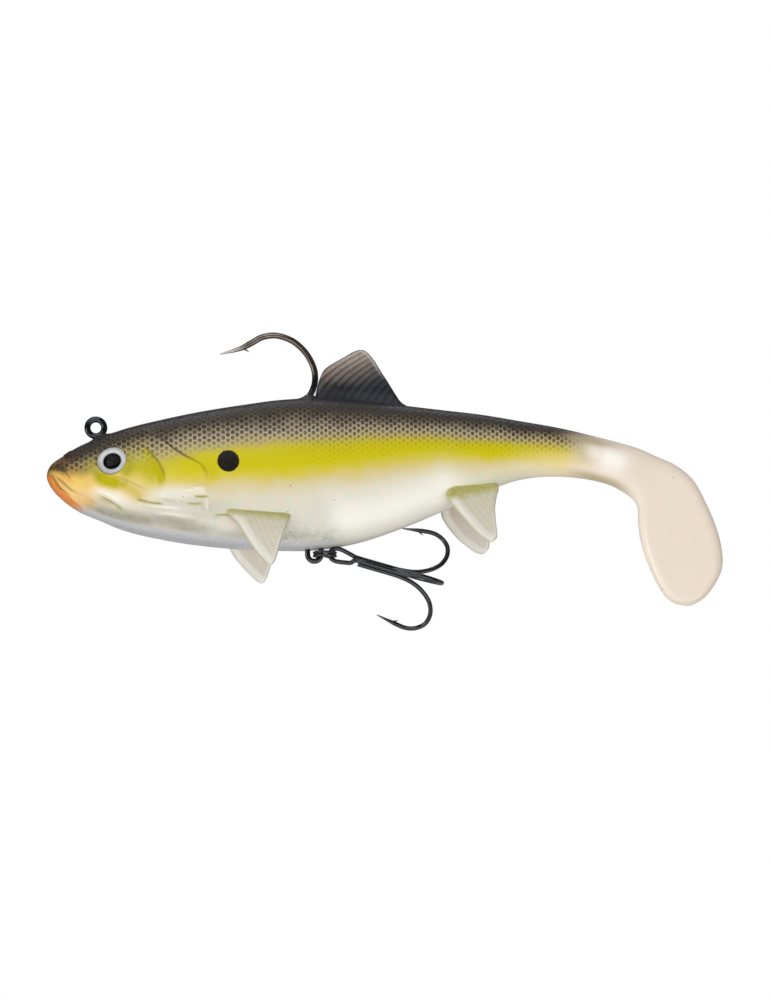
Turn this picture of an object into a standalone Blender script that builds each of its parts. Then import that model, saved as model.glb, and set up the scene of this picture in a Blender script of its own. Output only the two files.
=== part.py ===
"""Pre-rigged soft plastic swimbait, 140 mm long: body, fins, tail, weight, jig hook, ring and treble.

Frame: the origin is the centre of the line-tie eye, the nose points to -X, the tail to +X, the back
to +Z and the fish's left side to -Y.  Constants are in millimetres; every mesh is built in metres.
"""

import math

import bmesh
import bpy
from mathutils import Matrix, Vector

MM = 0.001
GAP = 0.3
MERGE = 1e-6              # metres: points this close become one
SHARP_ANGLE = math.radians(40)
SIDES = (("left", -1), ("right", 1))
THROUGH = 40.0            # depth of the cutters that go right through a piece

# Body lines: x, height of the back, height of the belly, half width.
BODY_STATIONS = [
    (-10.0, -9.3, -11.3, 1.2),
    (-9.2, -7.9, -12.8, 2.9),
    (-7.3, -6.5, -14.9, 4.2),
    (-3.1, -3.9, -17.8, 5.7),
    (1.0, -2.2, -19.4, 6.8),
    (5.2, -0.6, -21.0, 7.7),
    (13.5, 1.6, -22.9, 8.8),
    (21.8, 3.4, -24.1, 9.3),
    (30.0, 4.8, -24.8, 9.4),
    (38.4, 6.0, -25.1, 9.1),
    (46.6, 6.4, -24.9, 8.5),
    (54.9, 6.0, -23.4, 7.7),
    (63.2, 5.1, -20.6, 6.7),
    (71.5, 4.2, -17.1, 5.6),
    (79.8, 3.3, -13.2, 4.6),
    (88.1, 2.0, -10.2, 3.8),
    (96.4, 0.6, -9.5, 3.2),
    (104.7, -1.3, -10.7, 2.7),
    (114.0, -3.8, -15.0, 2.2),
]
WIDEST_AT = 0.48          # height of the widest line, as a part of the section's height
BACK_POWER = 2.0          # superellipse powers of the section above and below that line
BELLY_POWER = 2.9
SECTION_POINTS = 28
BODY_STEP = 4.0
BODY_END = 90.2
NOSE_STEPS = (-10.0, -9.6, -9.0, -8.0, -6.5, -4.5, -2.0)

# Tail: the stem swings about a vertical axis, the paddle about an axis square to the stem.
SWAY_X = 92.0
SWAY_NOSE_R = 3.3
SWAY_NOSE_ANGLES = (80, 62, 44, 26, 10)
STEM_START, STEM_END = 93.5, 112.0
KICK_X, KICK_Z = 109.0, -7.4
STEM_SLOPE = math.radians(-23.4)
PADDLE_THICK = 2.8
PADDLE_EDGE = 1.1
JOINT_CLEARANCE = 0.4
PADDLE_OUTLINE = [
    (109.5, -3.1), (112.9, -3.5), (120.4, -6.8), (124.0, -10.0), (127.2, -16.2), (129.8, -22.8),
    (130.4, -28.4), (127.6, -34.2), (122.5, -36.3), (118.4, -34.2), (115.2, -29.2), (113.1, -23.2),
    (112.3, -18.0), (111.7, -14.6), (109.3, -12.3), (106.1, -10.8),
]

# Fins: thickness, edge rounding, then per fin the hinge point, the two directions and the outline.
FIN_THICK = 1.5
FIN_EDGE = 0.6
FIN_ROOT = -0.75
DORSAL_HINGE = (55.0, 0.0, 7.2)
DORSAL_ALONG = (1.0, 0.0, -0.075)
DORSAL_OUT = (0.075, 0.0, 1.0)
DORSAL_OUTLINE = [
    (-8.0, FIN_ROOT), (-8.1, 2.0), (-6.9, 5.2), (-4.2, 7.6), (-0.2, 9.1), (1.2, 9.1), (3.2, 6.2),
    (5.4, 3.2), (7.4, 0.8), (8.2, FIN_ROOT),
]
PECTORAL_HINGE = (34.0, 9.9, -18.9)
PECTORAL_ALONG = (0.996, 0.0, -0.091)
PECTORAL_OUT = (0.05, 0.55, -0.835)
PECTORAL_OUTLINE = [
    (-5.9, FIN_ROOT), (-5.4, 1.4), (-4.0, 5.2), (-1.6, 10.4), (0.4, 13.2), (2.2, 14.1), (3.4, 13.0),
    (4.2, 9.4), (5.1, 4.6), (5.7, 1.2), (5.7, FIN_ROOT),
]
PELVIC_HINGE = (77.9, 4.45, -13.5)
PELVIC_ALONG = (0.968, -0.228, 0.104)
PELVIC_OUT = (0.239, 0.489, -0.837)
PELVIC_OUTLINE = [
    (-5.4, FIN_ROOT), (-5.2, 1.2), (-3.9, 5.0), (-2.6, 8.4), (-0.8, 11.2), (0.6, 12.8), (1.8, 13.1),
    (2.9, 11.8), (3.7, 8.4), (4.3, 4.8), (5.3, 2.2), (5.3, FIN_ROOT),
]

# Eyes: a socket with a foil disc, a printed pupil and a clear dome.
EYE_X, EYE_Z = 3.1, -7.6
EYE_FACING = Vector((-0.248, 0.901, 0.356))
SOCKET_R, SOCKET_DEPTH = 3.35, 1.6
SOCKET_MARGIN = 2.0
EYE_R, FOIL_THICK, FOIL_LEVEL = 3.05, 0.3, -1.1
PUPIL_R, PUPIL_THICK, PUPIL_LEVEL = 1.75, 0.12, -0.8
DOME_BASE, DOME_RIM, DOME_TOP = -0.62, 0.15, 0.7
DOME_STEPS, DOME_SIDES = 6, 24

# Jig hook: wire size, the eye's ring and the wire's route from the ring to the point.
JIG_WIRE_R = 0.65
LINE_EYE_R = 1.85
JIG_ROUTE = [
    (1.2, -1.45), (3.2, -3.8), (4.9, -5.8), (6.8, -7.2), (9.5, -7.6), (20.0, -5.9), (30.0, -4.1),
    (34.6, -2.9), (38.4, -0.6), (41.2, 2.5), (43.3, 5.6), (44.7, 7.9), (45.3, 10.2), (45.0, 12.8),
    (43.5, 15.7), (41.3, 17.9), (39.2, 19.0), (36.9, 19.5), (34.3, 19.1), (32.0, 17.8),
    (29.6, 16.6), (25.8, 15.5),
]
JIG_STEPS = 3
JIG_POINT_LENGTH = 6.5
JIG_BARB_R = 0.35
JIG_BARB_AT = (31.0, 16.6)
JIG_BARB_TO = (32.0, 15.4)
JIG_LAST_INSIDE = 12

# Lead weight: x, height of the centre, half height, half width.
BALLAST_SIDES = 20
BALLAST_STATIONS = [
    (1.0, -8.5, 1.2, 1.2), (2.5, -8.8, 3.4, 2.8), (5.0, -9.3, 4.9, 3.9), (9.0, -10.2, 5.9, 4.6),
    (14.0, -11.3, 6.4, 4.9), (19.0, -12.8, 6.4, 4.8), (24.0, -14.8, 5.6, 4.4),
    (30.0, -17.2, 4.2, 3.9), (36.0, -18.7, 3.3, 3.5), (42.0, -19.3, 3.0, 3.2),
    (47.0, -19.4, 2.7, 2.8), (49.5, -19.4, 1.4, 1.5),
]

# Belly hanger, split ring and treble.
HANGER_WIRE_R = 0.55
HANGER_X, HANGER_Z, HANGER_BEND_R = 45.2, -26.2, 1.4
HANGER_BEND_STEPS = 12
HANGER_LEG_TOP = -19.0
HANGER_ANCHOR = (0.8, 1.1)   # how far each turned-out end reaches along and up
RING_PIVOT = Vector((45.15, 0.0, -26.15))
RING_R = 2.22
RING_WIRE_R = 0.3
RING_PITCH = 0.64
RING_FROM, RING_TO, RING_STEPS = 35.0, 685.0, 54
RING_CROSSING = 35.0
TREBLE_PIVOT = RING_PIVOT + Vector((2 * RING_R, 0.0, 0.0))
TREBLE_SLOPE = math.radians(-15.8)
TREBLE_WIRE_R = 0.475
TREBLE_SHANK_R = 0.722    # from the treble's axis to each shank's centre
TREBLE_TURNS = [math.radians(angle) for angle in (26.0, 146.0, 266.0)]
TREBLE_HOOK = [
    (12.0, TREBLE_SHANK_R), (14.0, 0.8), (16.0, 1.1), (17.6, 1.6), (19.1, 2.4), (20.6, 3.6),
    (21.7, 5.0), (22.3, 6.6), (22.4, 8.1), (22.0, 9.6), (21.0, 10.8), (19.6, 11.6), (18.0, 11.85),
    (16.0, 11.55), (14.2, 11.25), (12.4, 11.0),
]
TREBLE_POINT_LENGTH = 4.5
TREBLE_BARB_AT = (15.4, 11.3)
TREBLE_BARB_TO = (16.5, 10.5)
TREBLE_BARB_R = 0.28
TREBLE_EYE = [(3.5, 0.78), (2.1, 1.1), (0.9, 1.3), (0.0, 1.28), (-0.8, 0.92), (-1.25, 0.0)]
TREBLE_EYE_END = 4.9
TREBLE_THIRD_START = 5.0
BRAZE_R, BRAZE_FROM, BRAZE_TO = 0.2, 5.2, 12.5


def clear_scene():
    for item in list(bpy.data.objects):
        bpy.data.objects.remove(item, do_unlink=True)


def new_collection(name):
    collection = bpy.data.collections.new(name)
    bpy.context.scene.collection.children.link(collection)
    return collection


def make_material(name, colour, roughness, metallic=0.0):
    material = bpy.data.materials.new(name)
    material.use_nodes = True
    shader = material.node_tree.nodes["Principled BSDF"]
    shader.inputs["Base Color"].default_value = (*colour, 1.0)
    shader.inputs["Roughness"].default_value = roughness
    shader.inputs["Metallic"].default_value = metallic
    material.diffuse_color = (*colour, 1.0)
    return material


clear_scene()
PARTS = new_collection("swimbait")
CUTTERS = new_collection("cutters")
SKIN = make_material("painted_soft_plastic", (0.52, 0.5, 0.2), 0.35)
TAIL = make_material("translucent_soft_plastic", (0.74, 0.66, 0.58), 0.4)
FIN = make_material("fin_soft_plastic", (0.66, 0.64, 0.45), 0.38)
SMOKE = make_material("smoked_soft_plastic", (0.16, 0.12, 0.09), 0.4)
LEAD = make_material("lead", (0.2, 0.2, 0.21), 0.55, 1.0)
BLACK_NICKEL = make_material("black_nickel", (0.035, 0.038, 0.045), 0.2, 1.0)
BRAZE = make_material("braze_metal", (0.3, 0.26, 0.18), 0.4, 1.0)
FOIL = make_material("silver_foil", (0.85, 0.86, 0.87), 0.25, 0.6)
INK = make_material("black_ink", (0.01, 0.01, 0.01), 0.3)
CLEAR = make_material("clear_resin", (0.95, 0.95, 0.95), 0.05)


# ---------------------------------------------------------------- shared helpers


def register(item, collection, material=None, smooth=True):
    """Link an object to its collection only, give it its material and shade it."""
    for owner in list(item.users_collection):
        owner.objects.unlink(item)
    collection.objects.link(item)
    if material is not None:
        item.data.materials.clear()
        item.data.materials.append(material)
    if smooth and item.type == "MESH":
        item.data.shade_smooth()
        item.data.set_sharp_from_angle(angle=SHARP_ANGLE)
    if collection is CUTTERS:
        item.hide_render = True
        item.display_type = "WIRE"
    return item


def mesh_object(name, mesh_builder, collection, material=None):
    mesh = bpy.data.meshes.new(name)
    builder = bmesh.new()
    mesh_builder(builder)
    bmesh.ops.recalc_face_normals(builder, faces=builder.faces)
    builder.to_mesh(mesh)
    builder.free()
    return register(bpy.data.objects.new(name, mesh), collection, material)


def interpolate(stations, x):
    """A row of the station table at x, by cubic Hermite curves between its rows."""
    index = 0
    while index < len(stations) - 2 and x > stations[index + 1][0]:
        index += 1

    def slope(at, column):
        low, high = max(at - 1, 0), min(at + 1, len(stations) - 1)
        rise = stations[high][column] - stations[low][column]
        return rise / (stations[high][0] - stations[low][0])

    start, end = stations[index], stations[index + 1]
    span = end[0] - start[0]
    t = (x - start[0]) / span
    row = []
    for column in range(1, len(start)):
        row.append(
            (2 * t**3 - 3 * t**2 + 1) * start[column]
            + (t**3 - 2 * t**2 + t) * span * slope(index, column)
            + (3 * t**2 - 2 * t**3) * end[column]
            + (t**3 - t**2) * span * slope(index + 1, column)
        )
    return row


def signed_power(value, power):
    return math.copysign(abs(value) ** power, value)


def body_half_width(x, z):
    """Half width of the body at height z of the section at x."""
    back, belly, half_width = interpolate(BODY_STATIONS, x)
    middle = belly + WIDEST_AT * (back - belly)
    if z > middle:
        rise, power = (z - middle) / (back - middle), BACK_POWER
    else:
        rise, power = (middle - z) / (middle - belly), BELLY_POWER
    return half_width * max(0.0, 1.0 - rise**power) ** (1.0 / power)


def body_ring(x, half_width=None):
    """Points of the body's section at x: a superellipse with a flatter belly than back."""
    back, belly, own_half_width = interpolate(BODY_STATIONS, x)
    half_width = own_half_width if half_width is None else half_width
    middle = belly + WIDEST_AT * (back - belly)
    ring = []
    for index in range(SECTION_POINTS):
        angle = 2 * math.pi * index / SECTION_POINTS
        across, rise = math.cos(angle), math.sin(angle)
        power = BACK_POWER if rise > 0 else BELLY_POWER
        height = (back - middle) if rise > 0 else (middle - belly)
        y = half_width * signed_power(across, 2 / power)
        z = middle + height * signed_power(rise, 2 / power)
        ring.append(Vector((x, y, z)) * MM)
    return ring


def loft(rings):
    """A builder that skins the rings in order and caps both ends."""

    def build(builder):
        levels = [[builder.verts.new(point) for point in ring] for ring in rings]
        count = len(levels[0])
        for low, high in zip(levels, levels[1:]):
            for index in range(count):
                after = (index + 1) % count
                builder.faces.new((low[index], low[after], high[after], high[index]))
        builder.faces.new(levels[0])
        builder.faces.new(reversed(levels[-1]))

    return build


def smooth_route(points, steps):
    """Points along a Catmull-Rom curve through the given ones."""
    points = [Vector(point) for point in points]
    padded = [2 * points[0] - points[1]] + points + [2 * points[-1] - points[-2]]
    route = []
    for p0, p1, p2, p3 in zip(padded, padded[1:], padded[2:], padded[3:]):
        for step in range(steps):
            t = step / steps
            route.append(
                0.5
                * (2 * p1 + (p2 - p0) * t + (2 * p0 - 5 * p1 + 4 * p2 - p3) * t**2
                   + (3 * p1 - p0 - 3 * p2 + p3) * t**3)
            )
    route.append(points[-1])
    return route


def point_taper(route, length, at_start=False):
    """Radius factors that sharpen the route's last stretch, or its first, to a point."""
    ordered = list(reversed(route)) if at_start else route
    factors, left = [], 0.0
    for index in range(len(ordered) - 1, -1, -1):
        if index < len(ordered) - 1:
            left += (ordered[index + 1] - ordered[index]).length
        factors.append(0.1 + 0.9 * min(1.0, left / length) ** 0.7)
    if not at_start:
        factors.reverse()
    return factors


def wire(name, route, radius, collection, material=None, factors=None):
    """A round wire along a route: a poly curve with a bevel and filled caps."""
    curve = bpy.data.curves.new(name, "CURVE")
    curve.dimensions = "3D"
    curve.resolution_u = 1
    curve.bevel_depth = radius * MM
    curve.bevel_resolution = 2
    curve.use_fill_caps = True
    spline = curve.splines.new("POLY")
    spline.points.add(len(route) - 1)
    for index, point in enumerate(route):
        spline.points[index].co = (*(Vector(point) * MM), 1.0)
        spline.points[index].radius = factors[index] if factors else 1.0
    return register(bpy.data.objects.new(name, curve), collection, material)


def to_mesh(item, collection, material=None):
    """The curve object as a welded mesh object of the same name, ready for a Boolean."""
    name = item.name
    evaluated = item.evaluated_get(bpy.context.evaluated_depsgraph_get())
    mesh = bpy.data.meshes.new_from_object(evaluated)
    builder = bmesh.new()
    builder.from_mesh(mesh)
    bmesh.ops.remove_doubles(builder, verts=builder.verts, dist=MERGE)
    bmesh.ops.recalc_face_normals(builder, faces=builder.faces)
    builder.to_mesh(mesh)
    builder.free()
    world = item.matrix_world.copy()
    bpy.data.objects.remove(item, do_unlink=True)
    result = bpy.data.objects.new(name, mesh)
    result.matrix_world = world
    return register(result, collection, material)


def boolean(item, tool, operation):
    modifier = item.modifiers.new(tool.name, "BOOLEAN")
    modifier.operation = operation
    modifier.solver = "EXACT"
    modifier.object = tool


def cylinder(name, radius, depth, collection, material=None, sides=32):
    def build(builder):
        bmesh.ops.create_cone(
            builder, cap_ends=True, segments=sides, radius1=radius * MM, radius2=radius * MM,
            depth=depth * MM,
        )

    return mesh_object(name, build, collection, material)


def spike(name, base, tip, radius, collection):
    """A small cone whose point is at tip, for a hook's barb."""
    base, tip = Vector(base), Vector(tip)

    def build(builder):
        bmesh.ops.create_cone(
            builder, cap_ends=True, segments=8, radius1=radius * MM, radius2=0.02 * MM,
            depth=(tip - base).length * MM,
        )

    item = mesh_object(name, build, collection)
    turn = (tip - base).to_track_quat("Z", "Y").to_matrix().to_4x4()
    item.matrix_world = Matrix.Translation((base + tip) / 2 * MM) @ turn
    return item


def frame_matrix(origin, x_axis, y_axis):
    """Matrix that puts local X and Y on the two directions, at an origin in millimetres."""
    x_axis = Vector(x_axis).normalized()
    z_axis = x_axis.cross(Vector(y_axis)).normalized()
    y_axis = z_axis.cross(x_axis)
    turn = Matrix((x_axis, y_axis, z_axis)).transposed().to_4x4()
    return Matrix.Translation(Vector(origin) * MM) @ turn


def plate(name, corners, thickness, edge, placement, material):
    """A flat plate with rounded edges: a smooth outline whose root side, from the last corner back
    to the first, is straight, filled, extruded both ways and bevelled."""
    outline = [point[:2] for point in smooth_route([(x, y, 0.0) for x, y in corners], 2)]
    curve = bpy.data.curves.new(name, "CURVE")
    curve.dimensions = "2D"
    curve.fill_mode = "BOTH"
    curve.extrude = thickness / 2 * MM
    spline = curve.splines.new("POLY")
    spline.points.add(len(outline) - 1)
    for index, (along, out) in enumerate(outline):
        spline.points[index].co = (along * MM, out * MM, 0.0, 1.0)
    spline.use_cyclic_u = True
    item = register(bpy.data.objects.new(name, curve), PARTS, material)
    item.matrix_world = placement
    weld = item.modifiers.new("weld", "WELD")
    weld.merge_threshold = MERGE
    bevel = item.modifiers.new("round_edges", "BEVEL")
    bevel.width = edge * MM
    bevel.segments = 3
    bevel.limit_method = "ANGLE"
    bevel.angle_limit = math.radians(55)
    return item


# ---------------------------------------------------------------- metal inside and under the body


def jig_route():
    return smooth_route([(x, 0.0, z) for x, z in JIG_ROUTE], JIG_STEPS)


def build_jig_hook():
    """One wire: the line-tie ring, the neck and shank inside the body, the bend, point and barb."""
    route = jig_route()
    factors = point_taper(route, JIG_POINT_LENGTH)
    curve = wire("jig_hook", route, JIG_WIRE_R, PARTS, BLACK_NICKEL, factors)
    hook = to_mesh(curve, PARTS, BLACK_NICKEL)
    bpy.ops.mesh.primitive_torus_add(
        major_segments=28, minor_segments=10, major_radius=LINE_EYE_R * MM,
        minor_radius=JIG_WIRE_R * MM, rotation=(math.radians(90), 0.0, 0.0),
    )
    ring = bpy.context.object
    ring.name = "line_eye_ring"
    register(ring, CUTTERS)
    boolean(hook, ring, "UNION")
    base, tip = [(x, 0.0, z) for x, z in (JIG_BARB_AT, JIG_BARB_TO)]
    boolean(hook, spike("jig_barb", base, tip, JIG_BARB_R, CUTTERS), "UNION")
    return hook


def jig_channel():
    """The space that the hook's neck and shank take up, with clearance."""
    inside = jig_route()[: JIG_LAST_INSIDE * JIG_STEPS]
    curve = wire("jig_channel", inside, JIG_WIRE_R + GAP, CUTTERS)
    return to_mesh(curve, CUTTERS)


def line_eye_seat():
    """The saddle in the head that the line-tie ring sits in."""
    seat = cylinder("line_eye_seat", LINE_EYE_R + JIG_WIRE_R + GAP, 2 * (JIG_WIRE_R + GAP), CUTTERS)
    seat.rotation_euler = (math.radians(90), 0.0, 0.0)
    return seat


def ballast_rings(grow):
    rings = []
    last = len(BALLAST_STATIONS) - 1
    for order, (x, middle, half_height, half_width) in enumerate(BALLAST_STATIONS):
        shift = -grow if order == 0 else grow if order == last else 0.0
        ring = []
        for index in range(BALLAST_SIDES):
            angle = 2 * math.pi * index / BALLAST_SIDES
            y = (half_width + grow) * math.cos(angle)
            z = middle + (half_height + grow) * math.sin(angle)
            ring.append(Vector((x + shift, y, z)) * MM)
        rings.append(ring)
    return rings


def hanger_route():
    """Both legs and the bend below the belly, with the ends turned out as anchors in the lead."""
    bend = []
    for step in range(HANGER_BEND_STEPS + 1):
        angle = math.pi + math.pi * step / HANGER_BEND_STEPS
        x = HANGER_X + HANGER_BEND_R * math.cos(angle)
        bend.append((x, 0.0, HANGER_Z + HANGER_BEND_R * math.sin(angle)))
    front, rear = HANGER_X - HANGER_BEND_R, HANGER_X + HANGER_BEND_R
    reach, rise = HANGER_ANCHOR
    start = [(front - reach, 0.0, HANGER_LEG_TOP + rise), (front, 0.0, HANGER_LEG_TOP)]
    end = [(rear, 0.0, HANGER_LEG_TOP), (rear + reach, 0.0, HANGER_LEG_TOP + rise)]
    return [Vector(point) for point in start + bend + end]


def build_ballast_and_hanger(channel):
    wire("belly_hanger", hanger_route(), HANGER_WIRE_R, PARTS, BLACK_NICKEL)
    clearance = wire("hanger_channel", hanger_route(), HANGER_WIRE_R + GAP, CUTTERS)
    clearance = to_mesh(clearance, CUTTERS)
    ballast = mesh_object("ballast", loft(ballast_rings(0.0)), PARTS, LEAD)
    boolean(ballast, channel, "DIFFERENCE")
    boolean(ballast, clearance, "DIFFERENCE")
    return clearance


# ---------------------------------------------------------------- soft body and tail


def body_positions(start, end):
    count = max(1, round((end - start) / BODY_STEP))
    return [start + (end - start) * index / count for index in range(count + 1)]


def eye_matrix(side):
    """Placement of an eye: local Z looks out of the head, the origin is on the skin."""
    facing = Vector((EYE_FACING.x, side * EYE_FACING.y, EYE_FACING.z)).normalized()
    place = Vector((EYE_X, side * body_half_width(EYE_X, EYE_Z), EYE_Z))
    return Matrix.Translation(place * MM) @ facing.to_track_quat("Z", "Y").to_matrix().to_4x4()


def eye_socket(side_name, side):
    depth = 2 * (SOCKET_DEPTH + SOCKET_MARGIN / 2)
    socket = cylinder("eye_socket_" + side_name, SOCKET_R, depth, CUTTERS)
    socket.matrix_world = eye_matrix(side) @ Matrix.Translation((0.0, 0.0, SOCKET_MARGIN / 2 * MM))
    return socket


def build_body(channel, hanger_clearance):
    """The soft body, cast round the weight and the wires, hollow only where they run."""
    positions = list(NOSE_STEPS) + body_positions(1.0, BODY_END)
    body = mesh_object("body_shell", loft([body_ring(x) for x in positions]), PARTS, SKIN)
    cavity = mesh_object("ballast_cavity", loft(ballast_rings(GAP)), CUTTERS)
    knuckle = cylinder("sway_socket", SWAY_NOSE_R + JOINT_CLEARANCE, THROUGH, CUTTERS, sides=40)
    knuckle.location = (SWAY_X * MM, 0.0, 0.0)
    tools = [cavity, channel, hanger_clearance, line_eye_seat(), knuckle]
    tools += [eye_socket(name, side) for name, side in SIDES]
    for tool in tools:
        boolean(body, tool, "DIFFERENCE")


def build_tail_root():
    """The tail stem: a rounded knuckle on the sway axis, then the body's lines down to the paddle."""
    rings = []
    for degrees in SWAY_NOSE_ANGLES:
        angle = math.radians(degrees)
        x = SWAY_X - SWAY_NOSE_R * math.sin(angle)
        rings.append(body_ring(x, SWAY_NOSE_R * math.cos(angle)))
    rings += [body_ring(x) for x in body_positions(STEM_START, STEM_END)]
    stem = mesh_object("tail_root", loft(rings), PARTS, TAIL)
    kick = kick_matrix()
    knuckle = cylinder("kick_socket", PADDLE_THICK / 2 + JOINT_CLEARANCE, THROUGH, CUTTERS)
    knuckle.matrix_world = kick

    def block(builder):
        bmesh.ops.create_cube(builder, size=THROUGH * MM)

    behind = mesh_object("stem_end", block, CUTTERS)
    shift = (THROUGH - PADDLE_THICK) / 2
    behind.matrix_world = kick @ Matrix.Translation((shift * MM, 0.0, 0.0))
    for tool in (behind, knuckle):
        boolean(stem, tool, "DIFFERENCE")


def kick_matrix():
    """Placement on the kick axis: local X along the stem, local Z on the axis."""
    along = Vector((math.cos(STEM_SLOPE), 0.0, math.sin(STEM_SLOPE)))
    return frame_matrix((KICK_X, 0.0, KICK_Z), along, (0.0, 1.0, 0.0))


def build_paddle():
    """The paddle: a flat plate in the fish's middle plane, its leading edge on the kick axis."""
    placement = frame_matrix((KICK_X, 0.0, KICK_Z), (1.0, 0.0, 0.0), (0.0, 0.0, 1.0))
    outline = [(x - KICK_X, z - KICK_Z) for x, z in PADDLE_OUTLINE]
    plate("tail_paddle", outline, PADDLE_THICK, PADDLE_EDGE, placement, TAIL)


# ---------------------------------------------------------------- fins and eyes


def build_fins():
    placement = frame_matrix(DORSAL_HINGE, DORSAL_ALONG, DORSAL_OUT)
    plate("dorsal_fin", DORSAL_OUTLINE, FIN_THICK, FIN_EDGE, placement, SMOKE)
    pairs = (
        ("pectoral_fin_", PECTORAL_HINGE, PECTORAL_ALONG, PECTORAL_OUT, PECTORAL_OUTLINE),
        ("pelvic_fin_", PELVIC_HINGE, PELVIC_ALONG, PELVIC_OUT, PELVIC_OUTLINE),
    )
    for stem, hinge, along, out, outline in pairs:
        for side_name, side in SIDES:
            origin = (hinge[0], side * hinge[1], hinge[2])
            placement = frame_matrix(
                origin, (along[0], side * along[1], along[2]), (out[0], side * out[1], out[2])
            )
            plate(stem + side_name, outline, FIN_THICK, FIN_EDGE, placement, FIN)


def build_dome(name, placement):
    """The clear lens: a turned profile from the crown down its rim to the flat base."""
    crown = [(0.0, DOME_TOP)]
    height = DOME_TOP - DOME_BASE - DOME_RIM
    for step in range(1, DOME_STEPS + 1):
        angle = math.pi / 2 * step / DOME_STEPS
        crown.append((EYE_R * math.sin(angle), DOME_BASE + DOME_RIM + height * math.cos(angle)))
    profile = crown + [(EYE_R, DOME_BASE), (0.0, DOME_BASE)]
    mesh = bpy.data.meshes.new(name)
    points = [(radius * MM, 0.0, level * MM) for radius, level in profile]
    mesh.from_pydata(points, [(index, index + 1) for index in range(len(points) - 1)], [])
    dome = register(bpy.data.objects.new(name, mesh), PARTS, CLEAR, smooth=False)
    dome.matrix_world = placement
    screw = dome.modifiers.new("turn", "SCREW")
    screw.steps = screw.render_steps = DOME_SIDES
    screw.use_merge_vertices = True
    screw.merge_threshold = MERGE
    screw.use_smooth_shade = True


def build_eyes():
    for side_name, side in SIDES:
        placement = eye_matrix(side)
        foil = cylinder("eye_foil_" + side_name, EYE_R, FOIL_THICK, PARTS, FOIL, sides=28)
        foil.matrix_world = placement @ Matrix.Translation((0.0, 0.0, FOIL_LEVEL * MM))
        pupil = cylinder("eye_pupil_" + side_name, PUPIL_R, PUPIL_THICK, PARTS, INK, sides=24)
        pupil.matrix_world = placement @ Matrix.Translation((0.0, 0.0, PUPIL_LEVEL * MM))
        build_dome("eye_dome_" + side_name, placement)


# ---------------------------------------------------------------- split ring and treble


def build_split_ring():
    """Two turns of wire that change level once, with both ends beside that crossing."""
    centre = (RING_PIVOT + TREBLE_PIVOT) / 2
    route = []
    for index in range(RING_STEPS + 1):
        angle = RING_FROM + (RING_TO - RING_FROM) * index / RING_STEPS
        blend = min(1.0, max(0.0, (angle - 360.0 + RING_CROSSING) / (2 * RING_CROSSING)))
        level = RING_PITCH * (blend * blend * (3 - 2 * blend) - 0.5)
        turn = math.radians(angle + 90.0)
        flat = Vector((math.cos(turn), math.sin(turn), 0.0)) * RING_R
        route.append(centre + flat + Vector((0.0, 0.0, level)))
    wire("split_ring", route, RING_WIRE_R, PARTS, BLACK_NICKEL)


def treble_point(along, out, turn):
    """A point of the treble: distance along its axis, distance out, and turn about the axis."""
    axis = Vector((math.cos(TREBLE_SLOPE), 0.0, math.sin(TREBLE_SLOPE)))
    upward = Vector((-math.sin(TREBLE_SLOPE), 0.0, math.cos(TREBLE_SLOPE)))
    outward = upward * math.cos(turn) + Vector((0.0, math.sin(turn), 0.0))
    return TREBLE_PIVOT + axis * along + outward * out


def barb(name, turn):
    base = treble_point(*TREBLE_BARB_AT, turn)
    tip = treble_point(*TREBLE_BARB_TO, turn)
    return spike(name, base, tip, TREBLE_BARB_R, CUTTERS)


def build_treble():
    """The double hook with its eye, the third hook, and the rod of braze between the shanks."""
    upper, lower, near = TREBLE_TURNS
    bend = [treble_point(*pair, upper) for pair in TREBLE_HOOK]
    first = [treble_point(TREBLE_EYE_END, TREBLE_SHANK_R, upper)]
    eye = [treble_point(along, out, 0.0) for along, out in TREBLE_EYE]
    eye += [treble_point(along, out, math.pi) for along, out in reversed(TREBLE_EYE[:-1])]
    second = [treble_point(TREBLE_EYE_END, TREBLE_SHANK_R, near)]
    other = [treble_point(*pair, near) for pair in TREBLE_HOOK]
    route = smooth_route(list(reversed(bend)) + first + eye + second + other, 2)
    half = len(route) // 2
    factors = point_taper(route[:half], TREBLE_POINT_LENGTH, at_start=True)
    factors += point_taper(route[half:], TREBLE_POINT_LENGTH)
    curve = wire("treble_double_hook", route, TREBLE_WIRE_R, PARTS, BLACK_NICKEL, factors)
    double = to_mesh(curve, PARTS, BLACK_NICKEL)
    boolean(double, barb("upper_barb", upper), "UNION")
    boolean(double, barb("near_barb", near), "UNION")

    start = treble_point(TREBLE_THIRD_START, TREBLE_SHANK_R, lower)
    route = smooth_route([start] + [treble_point(*pair, lower) for pair in TREBLE_HOOK], 2)
    factors = point_taper(route, TREBLE_POINT_LENGTH)
    curve = wire("treble_third_hook", route, TREBLE_WIRE_R, PARTS, BLACK_NICKEL, factors)
    third = to_mesh(curve, PARTS, BLACK_NICKEL)
    boolean(third, barb("lower_barb", lower), "UNION")

    rod = [treble_point(along, 0.0, 0.0) for along in (BRAZE_FROM, BRAZE_TO)]
    wire("treble_braze", rod, BRAZE_R, PARTS, BRAZE)


build_jig_hook()
CHANNEL = jig_channel()
HANGER_CLEARANCE = build_ballast_and_hanger(CHANNEL)
build_body(CHANNEL, HANGER_CLEARANCE)
build_tail_root()
build_paddle()
build_fins()
build_eyes()
build_split_ring()
build_treble()
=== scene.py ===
"""Looks of the swimbait: moulded soft skin with airbrushed paint, ribbed fins, foil eyes and wire.

Lengths in the constants are millimetres in the row's frame, and the meshes are built in metres.  The
fish's left side is -Y; both sides carry the same relief and paint.
"""

import math

import bpy
import numpy as np
from mathutils import Matrix, Vector


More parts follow.
